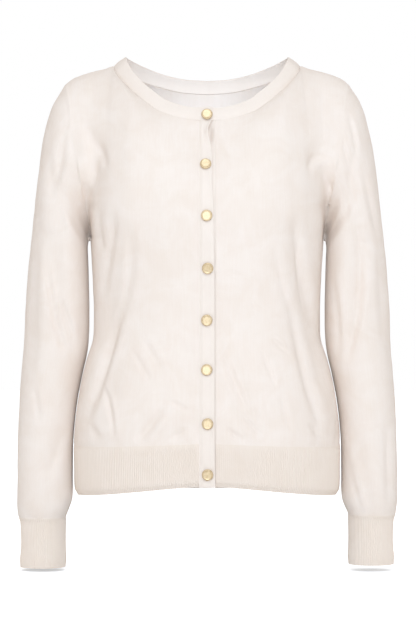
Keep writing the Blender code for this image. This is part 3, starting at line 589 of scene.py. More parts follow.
# %% Creases
CREASES = {  # by surface and side: x and z of both ends, bow, half width, depth
    ("front", "front"): (
        (-134, -132, -162, -88, 2, 8, 3),
        (-163, -196, -150, -124, -4, 7.5, 7.5),
        (-152, -122, -131, -150, 4, 6, 3),
        (-141, -205, -135, -262, -2, 5, 2.6),
        (-119, -206, -137, -321, 0, 5.1, 2.6),
        (160, -136, 131, -154, -8, 6, 4),
        (154, -140, 167, -194, -1, 7, 6.5),
        (123, -238, 129, -344, -6, 3.8, 1.5),
        (-98, -234, -110, -337, 4, 7, 2.6),
        (-110, -332, -157, -480, -1, 6.3, 6.2),
        (-135, -430, -120, -498, 3, 3.5, 2.6),
        (-55, -458, -91, -504, 1, 5.1, 5.3),
        (-20, -484, -55, -504, -1, 3.5, 2.9),
        (-45, -452, -26, -461, 0, 2.9, 1.9),
        (-97, -385, -72, -426, 0, 4.2, 1.8),
        (-83, -370, -56, -413, 0, 4.2, 1.4),
        (-152, -480, -141, -501, 0, 5.6, 2.2),
        (114, -222, 141, -357, -3, 5.7, 3.7),
        (87, -252, 107, -339, -2, 5.1, 1.8),
        (107, -326, 149, -495, -3, 6.3, 4.8),
        (70, -386, 89, -434, 0, 3.6, 2.2),
        (83, -372, 103, -389, 0, 2.9, 2.2),
        (19, -383, 64, -482, -3, 5.1, 3.7),
        (24, -485, 47, -503, 0, 3.2, 3),
        (55, -441, 72, -489, 0, 4.2, 1.9),
        (45, -471, 70, -496, 0, 3.2, 2.6),
        (95, -448, 107, -489, 0, 4.2, 1.9),
        (130, -480, 152, -501, 0, 5.1, 2.6),
        (26, -284, 43, -291, 0, 2, 0.9),
        (55, -320, 64, -338, 0, 2.6, 0.9),
    ),
    ("sleeve_right", "front"): (
        (-189, -54, -187, -108, 9, 2.2, 1.8),
        (-177, -82, -176, -110, 0, 2, 1.2),
        (-186, -108, -200, -178, 1, 5.2, 3.4),
        (-167, -126, -152, -137, 0, 2.3, 1.2),
        (-206, -132, -203, -193, 0, 5.7, 2.1),
        (-223, -186, -232, -428, 0, 10, 3.4),
        (-210, -279, -186, -389, -2, 3.7, 3.6),
        (-195, -316, -172, -391, 5, 4, 3.4),
        (-159, -321, -168, -391, 0, 4.3, 3.4),
        (-163, -443, -202, -547, -2, 5.7, 6.3),
        (-226, -436, -219, -480, 0, 4.3, 1.8),
        (-182, -547, -195, -590, 0, 4.3, 2.1),
        (-190, -200, -185, -232, 0, 4.3, 1.7),
        (-178, -175, -167, -212, 0, 5.7, 2.4),
    ),
    ("sleeve_left", "front"): (
        (174, -84, 185, -149, -3, 2.5, 2),
        (186, -82, 195, -131, 1, 2.9, 2.6),
        (187, -139, 191, -197, -1, 5.7, 3.9),
        (180, -173, 181, -219, 0, 4.3, 2.4),
        (204, -157, 225, -245, 0, 4.6, 2.4),
        (195, -219, 180, -408, 12, 4.8, 3.6),
        (159, -277, 170, -408, 5, 4, 5.8),
        (178, -503, 202, -603, -2, 4, 4.9),
        (236, -482, 237, -590, 0, 5.2, 2.7),
        (225, -243, 232, -376, 0, 6.5, 2.7),
    ),
    ("back", "back"): (
        (-104, -150, -86, -228, 10, 9, 2),
        (98, -146, 90, -236, -9, 9, 2.2),
        (-136, -215, -118, -330, 8, 8, 1.6),
        (132, -220, 118, -345, -8, 8, 1.8),
        (-112, -330, -146, -470, -6, 8, 2.2),
        (108, -335, 142, -462, 6, 8, 2),
        (-48, -296, -10, -316, 5, 7, 1.4),
        (-20, -330, 36, -318, -6, 7, 1.4),
        (-62, -360, -8, -372, 5, 6, 1.1),
        (52, -430, 28, -498, 4, 6, 1.2),
        (-70, -446, -88, -500, 3, 6, 1.2),
        (8, -462, -4, -502, 2, 5, 0.8),
    ),
    ("sleeve_right", "back"): (
        (-196, -120, -206, -205, 6, 8, 1.6),
        (-226, -300, -184, -352, 6, 6, 2),
        (-172, -330, -214, -378, 5, 6, 2.2),
        (-190, -440, -226, -500, 5, 6, 1.8),
        (-236, -540, -204, -592, 4, 6, 1.2),
    ),
    ("sleeve_left", "back"): (
        (194, -116, 208, -198, -6, 8, 1.6),
        (224, -312, 180, -356, -6, 6, 2.1),
        (174, -344, 218, -398, -5, 6, 2),
        (192, -452, 230, -520, -5, 6, 1.7),
        (234, -548, 206, -590, -4, 6, 1.2),
    ),
}
print("creases:", sum(len(rows) for rows in CREASES.values()))

# %% Depth of folds and creases
RIDGE_SHARE, RIDGE_AWAY, RIDGE_WIDTH = 0.4, 1.8, 1.2  # of the trough's depth and half width
TAPER, TAPER_END = 0.6, 0.02


def away_from_line(points, ends, bow=0.0):
    """How far points lie beside a bowed line in the front view, past its ends, and along it."""
    start, end = np.array(ends, float).reshape(2, 2)
    along = end - start
    length = np.linalg.norm(along)
    place = points[..., [0, 2]] - start
    t = place @ along / length**2
    aside = (place @ np.array((-along[1], along[0]))) / length
    aside = aside - bow * np.sin(math.pi * np.clip(t, 0, 1))
    past = np.maximum(np.maximum(-t, t - 1), 0) * length
    return aside, past, t


def fold_depth(surface, points):
    """How far the large folds push a surface in."""
    depth = np.zeros(points.shape[:-1])
    for *ends, half_width, fold in FOLDS[surface]:
        aside, past, _ = away_from_line(points, ends)
        depth += fold * np.exp(-(aside**2 + past**2) / half_width**2)
    return depth


def crease_depth(surface, points, in_front):
    """How far the creases push a surface in. In front says which points are on its front side."""
    depth = np.zeros(points.shape[:-1])
    for side, on_side in (("front", in_front), ("back", 1 - in_front)):
        for *ends, bow, half_width, crease in CREASES.get((surface, side), ()):
            aside, past, t = away_from_line(points, ends, bow)
            taper = np.sin(math.pi * np.clip(t, TAPER_END, 1 - TAPER_END)) ** TAPER
            taper *= np.exp(-((past / half_width) ** 2))
            trough = np.exp(-((aside / half_width) ** 2))
            ridge = np.exp(-(((aside - RIDGE_AWAY * half_width) / (RIDGE_WIDTH * half_width)) ** 2))
            depth += crease * taper * (trough - RIDGE_SHARE * ridge) * on_side
    return depth


# %% Uneven patterns
HUMP_WAVES = 9
HUMP_SIZES = (0.6, 0.9)  # the least size of a wave, and how much more the largest has


def uneven(a, b, size, seed):
    """A smooth uneven pattern between about -1 and 1, with humps about `size` mm across."""
    chance = np.random.default_rng(seed)
    total = np.zeros_like(a)
    for turn, shift, scale in chance.random((HUMP_WAVES, 3)):
        across = a * math.cos(math.pi * turn) + b * math.sin(math.pi * turn)
        wave = size * (HUMP_SIZES[0] + HUMP_SIZES[1] * scale)
        total += np.sin(across * math.pi / wave + 2 * math.pi * shift)
    return total / math.sqrt(2 * HUMP_WAVES)


# %% [markdown]
# ## Knitted surfaces
# Plain knit is rows of small V-shaped loops, here about a millimetre across, and its yarn takes the
# dye in patches and faint streaks. Maths nodes draw the loops and streaks on the cloth's own UV
# map, in metres of flat cloth, so that they follow the sleeves round. An image of knit would be
# simpler, but it repeats and stretches.

# %% Loops and dye
WALE, COURSE = 1.05, 0.8  # mm from one column of loops to the next, and from one row to the next
LOOP_SLANT, WALE_RELIEF = 1.1, 0.9
PATCHES = {"Scale": 26.0, "Detail": 4.0, "Roughness": 0.6, "Distortion": 0.8}
PATCH_RANGE, PATCH_SHARE = (0.36, 0.66), 0.7
STREAKS = {"Scale": 1.0, "Detail": 2.0}
STREAK_SCALE = (420.0, 26.0, 1.0)
STREAK_RANGE, STREAK_SHARE = (0.3, 0.7), 0.3


def spread(tree, value, low, high):
    """Stretches what lies between two values to 0 to 1."""
    return node(tree, "ShaderNodeMapRange", {0: value, 1: low, 2: high}).outputs[0]


def knit_relief(tree, uv):
    """The height of V-shaped loops: slanted arms, mirrored in each column, and valleys between."""
    parts = node(tree, "ShaderNodeSeparateXYZ", {0: uv})
    wales = maths(tree, "DIVIDE", parts.outputs[0], WALE * MM)
    courses = maths(tree, "DIVIDE", parts.outputs[1], COURSE * MM)
    arm = maths(tree, "PINGPONG", wales, 0.5)
    slant = maths(tree, "ADD", courses, maths(tree, "MULTIPLY", arm, LOOP_SLANT))
    loop = maths(tree, "PINGPONG", slant, 0.5)
    valley = maths(tree, "PINGPONG", maths(tree, "ADD", wales, 0.5), 0.5)
    return maths(tree, "ADD", loop, maths(tree, "MULTIPLY", valley, WALE_RELIEF))


def knit_dye(tree, uv, cloud):
    """How far the dye goes from the pale tone to the shade, in patches and streaks."""
    place = node(tree, "ShaderNodeTexCoord", {}).outputs["Object"]
    patches = node(tree, "ShaderNodeTexNoise", {"Vector": place, **PATCHES}, noise_dimensions="3D")
    drawn_out = node(tree, "ShaderNodeMapping", {0: uv, "Scale": STREAK_SCALE}).outputs[0]
    lines = {"Vector": drawn_out, **STREAKS}
    streaks = node(tree, "ShaderNodeTexNoise", lines, noise_dimensions="2D")
    cloudy = spread(tree, patches.outputs[0], *PATCH_RANGE)
    streaky = spread(tree, streaks.outputs[0], *STREAK_RANGE)
    patch_part = maths(tree, "MULTIPLY", cloudy, PATCH_SHARE * cloud)
    return maths(tree, "ADD", patch_part, maths(tree, "MULTIPLY", streaky, STREAK_SHARE * cloud))


# %% Knitted materials
YARN_TOP = 0.95  # the loops' height above which no shade is painted
GAP_SHADE_SHARE = 0.22  # how far the gaps between loops go to their painted shade
# painted shade in the gaps between loops: the dye's shade, made darker and warmer
GAP_SHADE_DARKNESS, GAP_SHADE_WARMTH = 0.82, 1.15
LOOP_BUMP = 0.55
KNIT_FINISH = {
    "Roughness": 0.88, "Specular IOR Level": 0.25, "Sheen Weight": 0.12, "Sheen Roughness": 0.5,
}


def knit_material(name, pale, shade, loop_depth, cloud):
    """Knitted cloth, by its dye's two tones, its loops' depth in mm, and how cloudy it is, with
    shade painted into the gaps between its loops.
    """
    material, tree, shader = new_material(name)
    uv = node(tree, "ShaderNodeUVMap", {}, uv_map="cloth").outputs[0]
    relief = knit_relief(tree, uv)
    dyed = blended(tree, knit_dye(tree, uv, cloud), pale, shade)
    # the gaps between loops are darkened as painted shade of their recesses
    gap = maths(tree, "MULTIPLY", maths(tree, "SUBTRACT", YARN_TOP, relief), GAP_SHADE_SHARE)
    painted_gap_shade = tuple(GAP_SHADE_DARKNESS * channel**GAP_SHADE_WARMTH for channel in shade)
    bump_inputs = {"Strength": LOOP_BUMP, "Distance": loop_depth * MM, "Height": relief}
    bump = node(tree, "ShaderNodeBump", bump_inputs)
    colour = blended(tree, gap, dyed, painted_gap_shade)
    set_inputs(tree, shader, {"Base Color": colour, "Normal": bump.outputs[0], **KNIT_FINISH})
    return material


KNITS = {  # pale tone, shade, depth of the loops in mm, cloudiness
    "plain_knit": ((0.878, 0.780, 0.700), (0.838, 0.723, 0.629), 0.25, 1.0),
    # the rib's tones are the plain yarn's, darker and warmer as painted shade of the grooves
    # between its ribs
    "rib_knit_painted_shade": ((0.847, 0.738, 0.642), (0.822, 0.705, 0.602), 0.22, 1.0),
    "band_knit": ((0.864, 0.765, 0.680), (0.846, 0.738, 0.649), 0.2, 0.8),
}
plain_knit, rib_knit_painted_shade, band_knit = (knit_material(name, *look) for name, look in KNITS.items())
print("knits:", list(KNITS))

# %% [markdown]
# ## Shells of cloth
# A piece of cloth starts as a flat grid, as it does on a knitting machine. Every point moves to its
# place on the form, and the Solidify modifier gives the sheet its thickness towards the inside.
# Beside a seam the cloth turns in a little, which draws the seam's fine line. Borders are sharp,
# because smooth shading across a rim would darken the cloth beside it. The grid's shares, times the
# size of the flat piece, make the UV map.

# %% Flat cloth
def flat_grid(name, columns, rows):
    """A grid as a mesh, and each point's shares across and along it."""
    grid = bmesh.new()
    bmesh.ops.create_grid(grid, x_segments=columns, y_segments=rows, size=0.5)
    mesh = bpy.data.meshes.new(name)
    grid.to_mesh(mesh)
    grid.free()
    places = np.empty(len(mesh.vertices) * 3)
    mesh.vertices.foreach_get("co", places)
    u, v = (places.reshape(-1, 3)[:, :2] + 0.5).T
    return mesh, np.rint(u * columns) / columns, np.rint(v * rows) / rows


def grid_size(points, columns, rows, u, v):
    """The width, length and area of the points' grid in mm."""
    grid = np.empty((rows + 1, columns + 1, 3))
    grid[np.rint(v * rows).astype(int), np.rint(u * columns).astype(int)] = points
    across = np.linalg.norm(np.diff(grid, axis=1), axis=-1)
    along = np.linalg.norm(np.diff(grid, axis=0), axis=-1)
    area = (across[:-1] * along[:, :-1]).sum()
    return across.sum(axis=1).max(), along.sum(axis=0).max(), area


# %% Finishing a sheet
WELD = 0.00002  # metres between points that become one


def draw_uv(mesh, across, along):
    corners = np.empty(len(mesh.loops), int)
    mesh.loops.foreach_get("vertex_index", corners)
    uvs = np.stack((across[corners], along[corners]), axis=-1) * MM
    mesh.uv_layers.new(name="cloth").data.foreach_set("uv", uvs.ravel())


def close_sheet(mesh, ring, inside_out):
    """Joins a ring's ends, sharpens the borders and turns the faces outwards."""
    sheet = bmesh.new()
    sheet.from_mesh(mesh)
    if ring:
        ends = [vertex for vertex in sheet.verts if vertex.is_boundary]
        bmesh.ops.remove_doubles(sheet, verts=ends, dist=WELD)
    for edge in sheet.edges:
        edge.smooth = not edge.is_boundary
    if inside_out:
        bmesh.ops.reverse_faces(sheet, faces=sheet.faces)
    sheet.to_mesh(mesh)
    sheet.free()


# %% The way out, and the seams
SHARE_STEP = 0.002
SEAM_ROLL, SEAM_REACH = 0.12, 2.0


def outward(form, u, v, ring, turn_round, step):
    """The way out of a form, from a point's neighbours."""
    if ring:
        left, right = form((u - step) % 1.0, v), form((u + step) % 1.0, v)
    else:
        left, right = form(np.clip(u - step, 0, 1), v), form(np.clip(u + step, 0, 1), v)
    below, above = form(u, np.clip(v - SHARE_STEP, 0, 1)), form(u, np.clip(v + SHARE_STEP, 0, 1))
    return unit(np.cross(right - left, above - below)) * turn_round


def seam_depth(u, v, width, length, sewn):
    """How far the cloth turns in beside its sewn sides: left, right, bottom or top."""
    sides = {"l": u * width, "r": (1 - u) * width, "b": v * length, "t": (1 - v) * length}
    return sum(SEAM_ROLL * np.exp(-((sides[side] / SEAM_REACH) ** 2)) for side in sewn)


# %% A cloth maker
def cloth(
    name, columns, rows, form, shape, thickness, material,
    sewn="", ring=False, mirror=1.0, turn_round=1.0, step=SHARE_STEP,
):
    """A thin shell on a form. Shape says how far in each point goes, and sewn, which sides are."""
    mesh, u, v = flat_grid(name, columns, rows)
    points = form(u, v)
    out = outward(form, u, v, ring, turn_round, step)
    width, length, _ = grid_size(points, columns, rows, u, v)
    depth = shape(points, u, v) + seam_depth(u, v, width, length, sewn)
    points = points - out * depth[:, None]
    flat_width, flat_length, area = grid_size(points, columns, rows, u, v)
    mesh.vertices.foreach_set("co", (points * (mirror, 1.0, 1.0) * MM).ravel())
    draw_uv(mesh, u * width, v * length)
    close_sheet(mesh, ring, mirror * turn_round < 0)
    mesh.materials.append(material)
    mesh.shade_smooth()
    piece = add_object(name, mesh)
    wall = piece.modifiers.new("wall", "SOLIDIFY")
    wall.thickness = thickness * MM
    wall.offset = -1.0
    wall.use_even_offset = False
    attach(piece, "root")
    print(f"{name}: {flat_width:.0f} x {flat_length:.0f} mm, {area / 100:.0f} cm2 of cloth")
    return piece, (flat_width * MM, flat_length * MM), area * MM * MM


# %% What a sheet stands for
def declare(made, node_name):
    """Hides the solid that a sheet stands for, and gives back the sheet."""
    piece, flat, area = made
    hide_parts(node_name)
    min(area, flat[0] * flat[1])
    return piece


# %% [markdown]
# ## Fronts and back
# The fronts are knitted in one with their shoulders. Above the hem the cloth is fuller than the
# ribs it is sewn to, so small gathers stand along that seam. The same function makes both fronts: a
# mirror would do for the outline, but the creases differ from side to side.

# %% Columns and rows of the body
FRONT_COLUMNS, BACK_COLUMNS, SHOULDER_COLUMNS = 72, 60, 34
BODY_ROWS, YOKE_ROWS = 100, 96
NECK_CROWDING = 1.4  # above 1, the columns stand closer towards the neck point


def neck_share(column, neck_columns, start_share=0.0):
    left = np.clip(1 - column / neck_columns, 0, 1) ** NECK_CROWDING
    return NECK_POINT - (NECK_POINT - start_share) * left


def column_share(across, neck_columns, start_share=0.0):
    """Turns shares of half a panel's columns to shares of its width."""
    column = across * (neck_columns + SHOULDER_COLUMNS)
    at_neck = neck_share(column, neck_columns, start_share)
    on_shoulder = NECK_POINT + (1 - NECK_POINT) * (column - neck_columns) / SHOULDER_COLUMNS
    share = np.where(column <= neck_columns, at_neck, on_shoulder)
    return (share - start_share) / (1 - start_share)


def row_level(v):
    row = v * (BODY_ROWS + YOKE_ROWS)
    return np.where(row <= BODY_ROWS, row / BODY_ROWS, 1 + (row - BODY_ROWS) / YOKE_ROWS)


def half_side(u):
    """Which half of the back a point lies in."""
    return np.where(u >= 0.5, 1.0, -1.0)


print("points of a front:", FRONT_COLUMNS + SHOULDER_COLUMNS + 1, "by", BODY_ROWS + YOKE_ROWS + 1)

# %% Small unevenness
LOOSE_HUMPS = ((0.45, 0.6, 34.0), (0.16, 1.0, 13.0))  # depth, how the height counts, size
GATHER_SIZE, GATHER_CALM = 9.0, 4  # the calm is how near the seam the gathers start
HEM_GATHERS, CUFF_GATHERS = (0.55, 26), (0.7, 22)  # depth and reach
BODY_LENGTH = 265  # from the ribs to the chest
GATHER_SLANT, GATHER_DRIFT = 0.4, 0.25
SIDE_CALM, END_CALM = 0.04, 0.03


def gathers(size, away, across, along, seed):
    """Small gathers beside a rib, by the distance to it in mm."""
    depth, reach = size
    fade = np.exp(-((away / reach) ** 2)) * smooth_step(away / GATHER_CALM)
    return depth * fade * uneven(across, along, GATHER_SIZE, seed)


def hem_gathers(points, v, seed):
    above = v * (BODY_ROWS + YOKE_ROWS) / BODY_ROWS * BODY_LENGTH
    across = points[:, 0] + GATHER_SLANT * points[:, 1]
    return gathers(HEM_GATHERS, above, across, above * GATHER_DRIFT, seed)


def loose(points, seed):
    """The gentle unevenness of cloth that hangs loose, in mm."""
    x, z = points[:, 0], points[:, 2]
    total = 0.0
    for number, (depth, share, size) in enumerate(LOOSE_HUMPS):
        total = total + depth * uneven(x, z * share, size, seed + number)
    return total


def end_calm(v):
    """0 at both ends of a piece and 1 inside it, so that seams meet."""
    return smooth_step(np.minimum(v, 1 - v) / END_CALM)


def edge_calm(u, v):
    return smooth_step(np.minimum(u, 1 - u) / SIDE_CALM) * end_calm(v)


# %% The fronts
SIDES = (("right", RIGHT, BAND_SEAM_X), ("left", LEFT, UNDER_SEAM_X))
BAND_CALM = 0.03


def front_panel(name, side, start):
    start_share = start / CHEST_LENGTH["front"]

    def form(u, v):
        share = column_share(u, FRONT_COLUMNS, start_share)
        return body_surface("front", row_level(v), share, start)

    def shape(points, u, v):
        seen = points * (side, 1.0, 1.0)
        small = crease_depth("front", seen, 1.0) + loose(seen, seed=11)
        gathered = hem_gathers(seen, v, seed=5) * smooth_step(u / BAND_CALM)
        return fold_depth("front", seen) + edge_calm(u, v) * small + gathered

    columns, rows = FRONT_COLUMNS + SHOULDER_COLUMNS, BODY_ROWS + YOKE_ROWS
    return cloth(name, columns, rows, form, shape, KNIT, plain_knit, sewn="lt", mirror=side)


for hand, side, start in SIDES:
    front = front_panel(f"knit_front_{hand}", side, start)
    declare(front, f"front_{hand}_panel")


# %% The back
def back_panel():
    def form(u, v):
        share = column_share(np.abs(u - 0.5) * 2, BACK_COLUMNS)
        points = body_surface("back", row_level(v), share)
        points[..., 0] *= half_side(u)
        return points

    def shape(points, u, v):
        small = crease_depth("back", points, 0.0) + loose(points, seed=21)
        return fold_depth("back", points) + edge_calm(u, v) * small + hem_gathers(points, v, seed=7)

    columns, rows = 2 * (BACK_COLUMNS + SHOULDER_COLUMNS), BODY_ROWS + YOKE_ROWS
    return cloth(
        "knit_back", columns, rows, form, shape, KNIT, plain_knit, sewn="t", turn_round=-1.0
    )


declare(back_panel(), "back_panel")

# %% [markdown]
# ## Sleeves
# A sleeve is a tube of cloth whose upper end follows the armhole. Its grid runs once round the arm,
# and the ends of each row are joined. Below the waist its inner side bulges a little towards the
# body, which it nearly touches.

# %% Where a sleeve hangs
REST_BULGE, REST_CURVE = 2.2, 4  # above 1, the curve keeps the bulge to the innermost points
REST_TOP, REST_END = (-365.0, 40), (-600.0, 20)  # a height, and the fade of the bulge there


def sleeve_form(first, last, side):
    def form(u, v):
        station = first + v * (last - first)
        points = sleeve_surface(station, 360 * u)
        down = smooth_step((CHEST_Z - points[..., 2]) / SLEEVE_LENGTH)
        points[..., 2] += SLEEVE_DROP[side] * down
        return points

    return form


def rest_bulge(height, inward):
    """How far the inner side bulges towards the body."""
    below_top = smooth_step((REST_TOP[0] - height) / REST_TOP[1])
    above_end = smooth_step((height - REST_END[0]) / REST_END[1])
    return REST_BULGE * inward**REST_CURVE * (below_top * above_end)


# %% Sleeves
SLEEVE_COLUMNS, SLEEVE_ROWS = 112, 210
ARM_GIRTH, ARM_LENGTH, CUFF_DRIFT = 290, 560, 60
FRONT_FADE = 1.5
SLEEVE_SHIFT = 40  # of the uneven pattern, so that the sleeves differ


def sleeve(name, surface, side):
    def shape(points, u, v):
        seen = points * (side, 1.0, 1.0)
        inward = 0.5 - 0.5 * np.cos(2 * math.pi * u)
        clear = smooth_step(2 - 2 * inward)
        in_front = smooth_step(0.5 + FRONT_FADE * np.sin(2 * math.pi * u))
        small = crease_depth(surface, seen, in_front)
        hanging = loose(seen + (0, 0, SLEEVE_SHIFT * side), seed=23)
        folded = fold_depth(surface, seen) + end_calm(v) * small + end_calm(v) * hanging
        to_cuff, round_arm = (1 - v) * ARM_LENGTH, ARM_GIRTH * u
        gathered = gathers(CUFF_GATHERS, to_cuff, round_arm, CUFF_DRIFT * v, seed=31)
        return clear * (folded + gathered) - rest_bulge(points[:, 2], inward)

    form = sleeve_form(0, CUFF_START, side)
    return cloth(
        name, SLEEVE_COLUMNS, SLEEVE_ROWS, form, shape, KNIT, plain_knit,
        sewn="b", ring=True, mirror=side,
    )


for hand, side, _ in SIDES:
    made = sleeve(f"knit_sleeve_{hand}", f"sleeve_{hand}", side)
    declare(made, f"sleeve_{hand}")

# %% [markdown]
# ## Ribs
# A one-by-one rib alternates a column of loops that faces out with one that faces in, so its
# outside is a row of rounded ridges, here 2.6 mm apart. They are real relief in the mesh, six
# points to a rib, because they show along the outline of the hem and cuffs. A rib draws the cloth
# in, so the free rims turn in a little too.

# %% Ribs
RIB_POINTS, RIB_ROWS = 6, 24
RIB_HEIGHT, RIB_ROUNDNESS = 0.7, 0.8
RIB_START, RIB_RISE = 0.25, 0.12  # how high the ribs start at the seam, and where they are full
HEM_FRONT_RIBS, HEM_BACK_RIBS, CUFF_RIBS = 88, 184, 80
HEM_LENGTH, CUFF_LENGTH = 62.0, 58.0
HEM_TURN, CUFF_TURN = 3.0, 1.5  # how far the rim turns in
RIM_REACH, RIM_CURVE = 9.0, 1.5


def rib_depth(u, to_rim, ribs, length, rim_turn):
    """How far a rib's cloth goes in, by its shares round it and from the seam to the rim."""
    ridge = np.abs(np.sin(math.pi * u * ribs)) ** RIB_ROUNDNESS
    risen = RIB_START + (1 - RIB_START) * smooth_step(to_rim / RIB_RISE)
    turned = rim_turn * (1 - smooth_step((1 - to_rim) * length / RIM_REACH)) ** RIM_CURVE
    return turned - RIB_HEIGHT * ridge * risen


def rib(name, ribs, form, shape, **sides):
    return cloth(name, ribs * RIB_POINTS, RIB_ROWS, form, shape, RIB_KNIT, rib_knit_painted_shade, **sides)


print("ribs round the hem:", 2 * HEM_FRONT_RIBS + HEM_BACK_RIBS)

# %% Hem
def hem_front(name, side, start):
    def form(u, v):
        return body_surface("front", v - 1, u, start)

    def shape(points, u, v):
        return rib_depth(u, 1 - v, HEM_FRONT_RIBS, HEM_LENGTH, HEM_TURN)

    return rib(name, HEM_FRONT_RIBS, form, shape, sewn="l", mirror=side)


def hem_back():
    def form(u, v):
        points = body_surface("back", v - 1, np.abs(u - 0.5) * 2)
        points[..., 0] *= half_side(u)
        return points

    def shape(points, u, v):
        return rib_depth(u, 1 - v, HEM_BACK_RIBS, HEM_LENGTH, HEM_TURN)

    return rib("rib_hem_back", HEM_BACK_RIBS, form, shape, turn_round=-1.0)


for hand, side, start in SIDES:
    made = hem_front(f"rib_hem_front_{hand}", side, start)
    declare(made, f"hem_rib_front_{hand}")
declare(hem_back(), "hem_rib_back")


# %% Cuffs
def cuff(name, side):
    def shape(points, u, v):
        return rib_depth(u, v, CUFF_RIBS, CUFF_LENGTH, CUFF_TURN)

    form = sleeve_form(CUFF_START, SLEEVE_SECTIONS["station"][-1], side)
    return rib(name, CUFF_RIBS, form, shape, ring=True, mirror=side)


for hand, side, _ in SIDES:
    made = cuff(f"rib_cuff_{hand}", side)
    declare(made, f"cuff_rib_{hand}")

# %% [markdown]
# ## Neckband
# The neckband is knitted double and folded at its free edge, so it is smooth, rounded and fuller
# than the panels. It runs from its under end at the front round to the upper end, which carries the
# first button.

# %% Stations along the neckline
NECK_FRONT_STEPS, NECK_BACK_STEPS, NECK_END_STEPS = 90, 70, 6
CHEST = CHEST_LENGTH["front"]


def neck_path():
    """Stations along the neckline: if in the back, the side, and the share of the width."""
    front = neck_share(np.arange(NECK_FRONT_STEPS + 1.0), NECK_FRONT_STEPS)
    back = neck_share(np.arange(NECK_BACK_STEPS + 1.0), NECK_BACK_STEPS)
    under = np.linspace(UNDER_END_X / CHEST, 0.0, NECK_END_STEPS + 1)[:-1]
    upper = np.linspace(0.0, UPPER_END_X / CHEST, NECK_END_STEPS + 1)[1:]
    stretches = (
        (0, RIGHT, under), (0, LEFT, front), (1, LEFT, back[-2::-1]), (1, RIGHT, back[1:]),
        (0, RIGHT, front[-2::-1]), (0, LEFT, upper),
    )
    return np.array([(half, side, share) for half, side, shares in stretches for share in shares])


NECK_PATH = neck_path()
LAST_STATION = len(NECK_PATH) - 1
print("stations along the neckline:", len(NECK_PATH))

# %% Neckband
NECK_ROWS, NECK_BULGE = 12, 1.6
NECK_LAP_START, NECK_LAP_RISE = 16, 9  # stations before the upper end


def neck_form(u, v):
    half, side, share = NECK_PATH[np.rint(u * LAST_STATION).astype(int)].T
    ones = np.ones_like(share)
    in_back = (half > 0.5)[:, None]
    lower = np.where(in_back, yoke_point("back", share, ones), yoke_point("front", share, ones))
    upper_back = read_point(NECK_EDGE_BACK, "share", share)
    upper = np.where(in_back, upper_back, read_point(NECK_EDGE_FRONT, "share", share))
    bulge = NECK_BULGE * np.sin(math.pi * v)
    points = lower + (upper - lower) * v[:, None] + unit(lower * (1.0, 1.0, 0.0)) * bulge[:, None]
    points[:, 0] *= side
    return points


def neckband():
    def shape(points, u, v):
        past = u * LAST_STATION - (LAST_STATION - NECK_LAP_START)
        return -LAP_LIFT * smooth_step(past / NECK_LAP_RISE)

    return cloth(
        "band_neck", LAST_STATION, NECK_ROWS, neck_form, shape, BAND_KNIT, band_knit,
        sewn="b", step=1.0 / LAST_STATION,
    )


# %% Rounded rims
NECK_RIM, UNDER_RIM, UPPER_RIM = 0.45, 0.35, 0.3
RIM_SEGMENTS, RIM_ANGLE = 2, 50


def rounded_edges(piece, width):
    """Rounds the rims of a shell."""
    edge = piece.modifiers.new("rounded_rim", "BEVEL")
    edge.width = width * MM
    edge.segments = RIM_SEGMENTS
    edge.harden_normals = True
    edge.limit_method = "ANGLE"
    edge.angle_limit = math.radians(RIM_ANGLE)


neck = declare(neckband(), "neckband")
rounded_edges(neck, NECK_RIM)

# %% [markdown]
# ## Front bands
# Two doubled bands lie on each other down the front, the wearer's right one on top. Its free edge
# stands up in a fine, uneven lip. Below the neckband it curls away from the lower band, and the
# hollow there lies in shade.

# %% Form of the front bands
BAND_COLUMNS, BAND_ROWS = 24, 220
HEM_SHARE, BODY_SHARE, YOKE_SHARE = 0.11, 0.53, 0.36  # of a band's rows


def lap_surface(x, level):
    """The front's surface beside the centre line, at signed distances across it."""
    distance = np.abs(x)
    z = body_level("front", level, distance / CHEST)
    low = section_point("front", z, distance)
    high = yoke_point("front", distance / CHEST, np.clip(level - 1, 0, 1))
    points = np.where((level <= 1)[..., None], low, high)
    points[..., 0] *= np.where(x >= 0, 1.0, -1.0)
    return points


def band_level(v):
    in_body, in_yoke = (v - HEM_SHARE) / BODY_SHARE, (v - HEM_SHARE - BODY_SHARE) / YOKE_SHARE
    above = np.where(v <= HEM_SHARE + BODY_SHARE, in_body, 1 + in_yoke)
    return np.where(v <= HEM_SHARE, v / HEM_SHARE - 1, above)


def front_band(name, left, right, shape, sewn):
    """A band between two edges, given by height."""
    def form(u, v):
        level = np.clip(band_level(v), -1, 2)
        height = lap_surface(np.zeros_like(level), level)[..., 2]
        low, high = left(height), right(height)
        return lap_surface(low + u * (high - low), level)

    return cloth(name, BAND_COLUMNS, BAND_ROWS, form, shape, BAND_KNIT, band_knit, sewn=sewn)


def constant(value):
    return lambda height: np.full_like(height, value)


# %% Shapes of the front bands
RISE = 0.3  # share of the width over which the upper band rises from its seam
CURL_LIFT, CURL_START = 3.6, 0.35
CURL_Z, CURL_REACH = -108, 14
LIP, LIP_START = 0.9, 0.75
EDGE_WAVE, EDGE_WAVE_SIZE, EDGE_WAVE_START = 0.25, 16.0, 0.4
HOLLOW_DEPTH = 5.0
HOLLOW_X, HOLLOW_Z = (3.5, 4.5), (-107, 12)  # its middle and its reach


def hump(value, middle, reach):
    """1 in the middle of a stretch, and less the further away."""
    return np.exp(-(((value - middle) / reach) ** 2))


def to_free_edge(u, start):
    """Rises from 0 at a share of the width to 1 at the free edge."""
    return smooth_step((u - start) / (1 - start))


def under_shape(points, u, v):
    return HOLLOW_DEPTH * hump(points[:, 2], *HOLLOW_Z) * hump(points[:, 0], *HOLLOW_X)


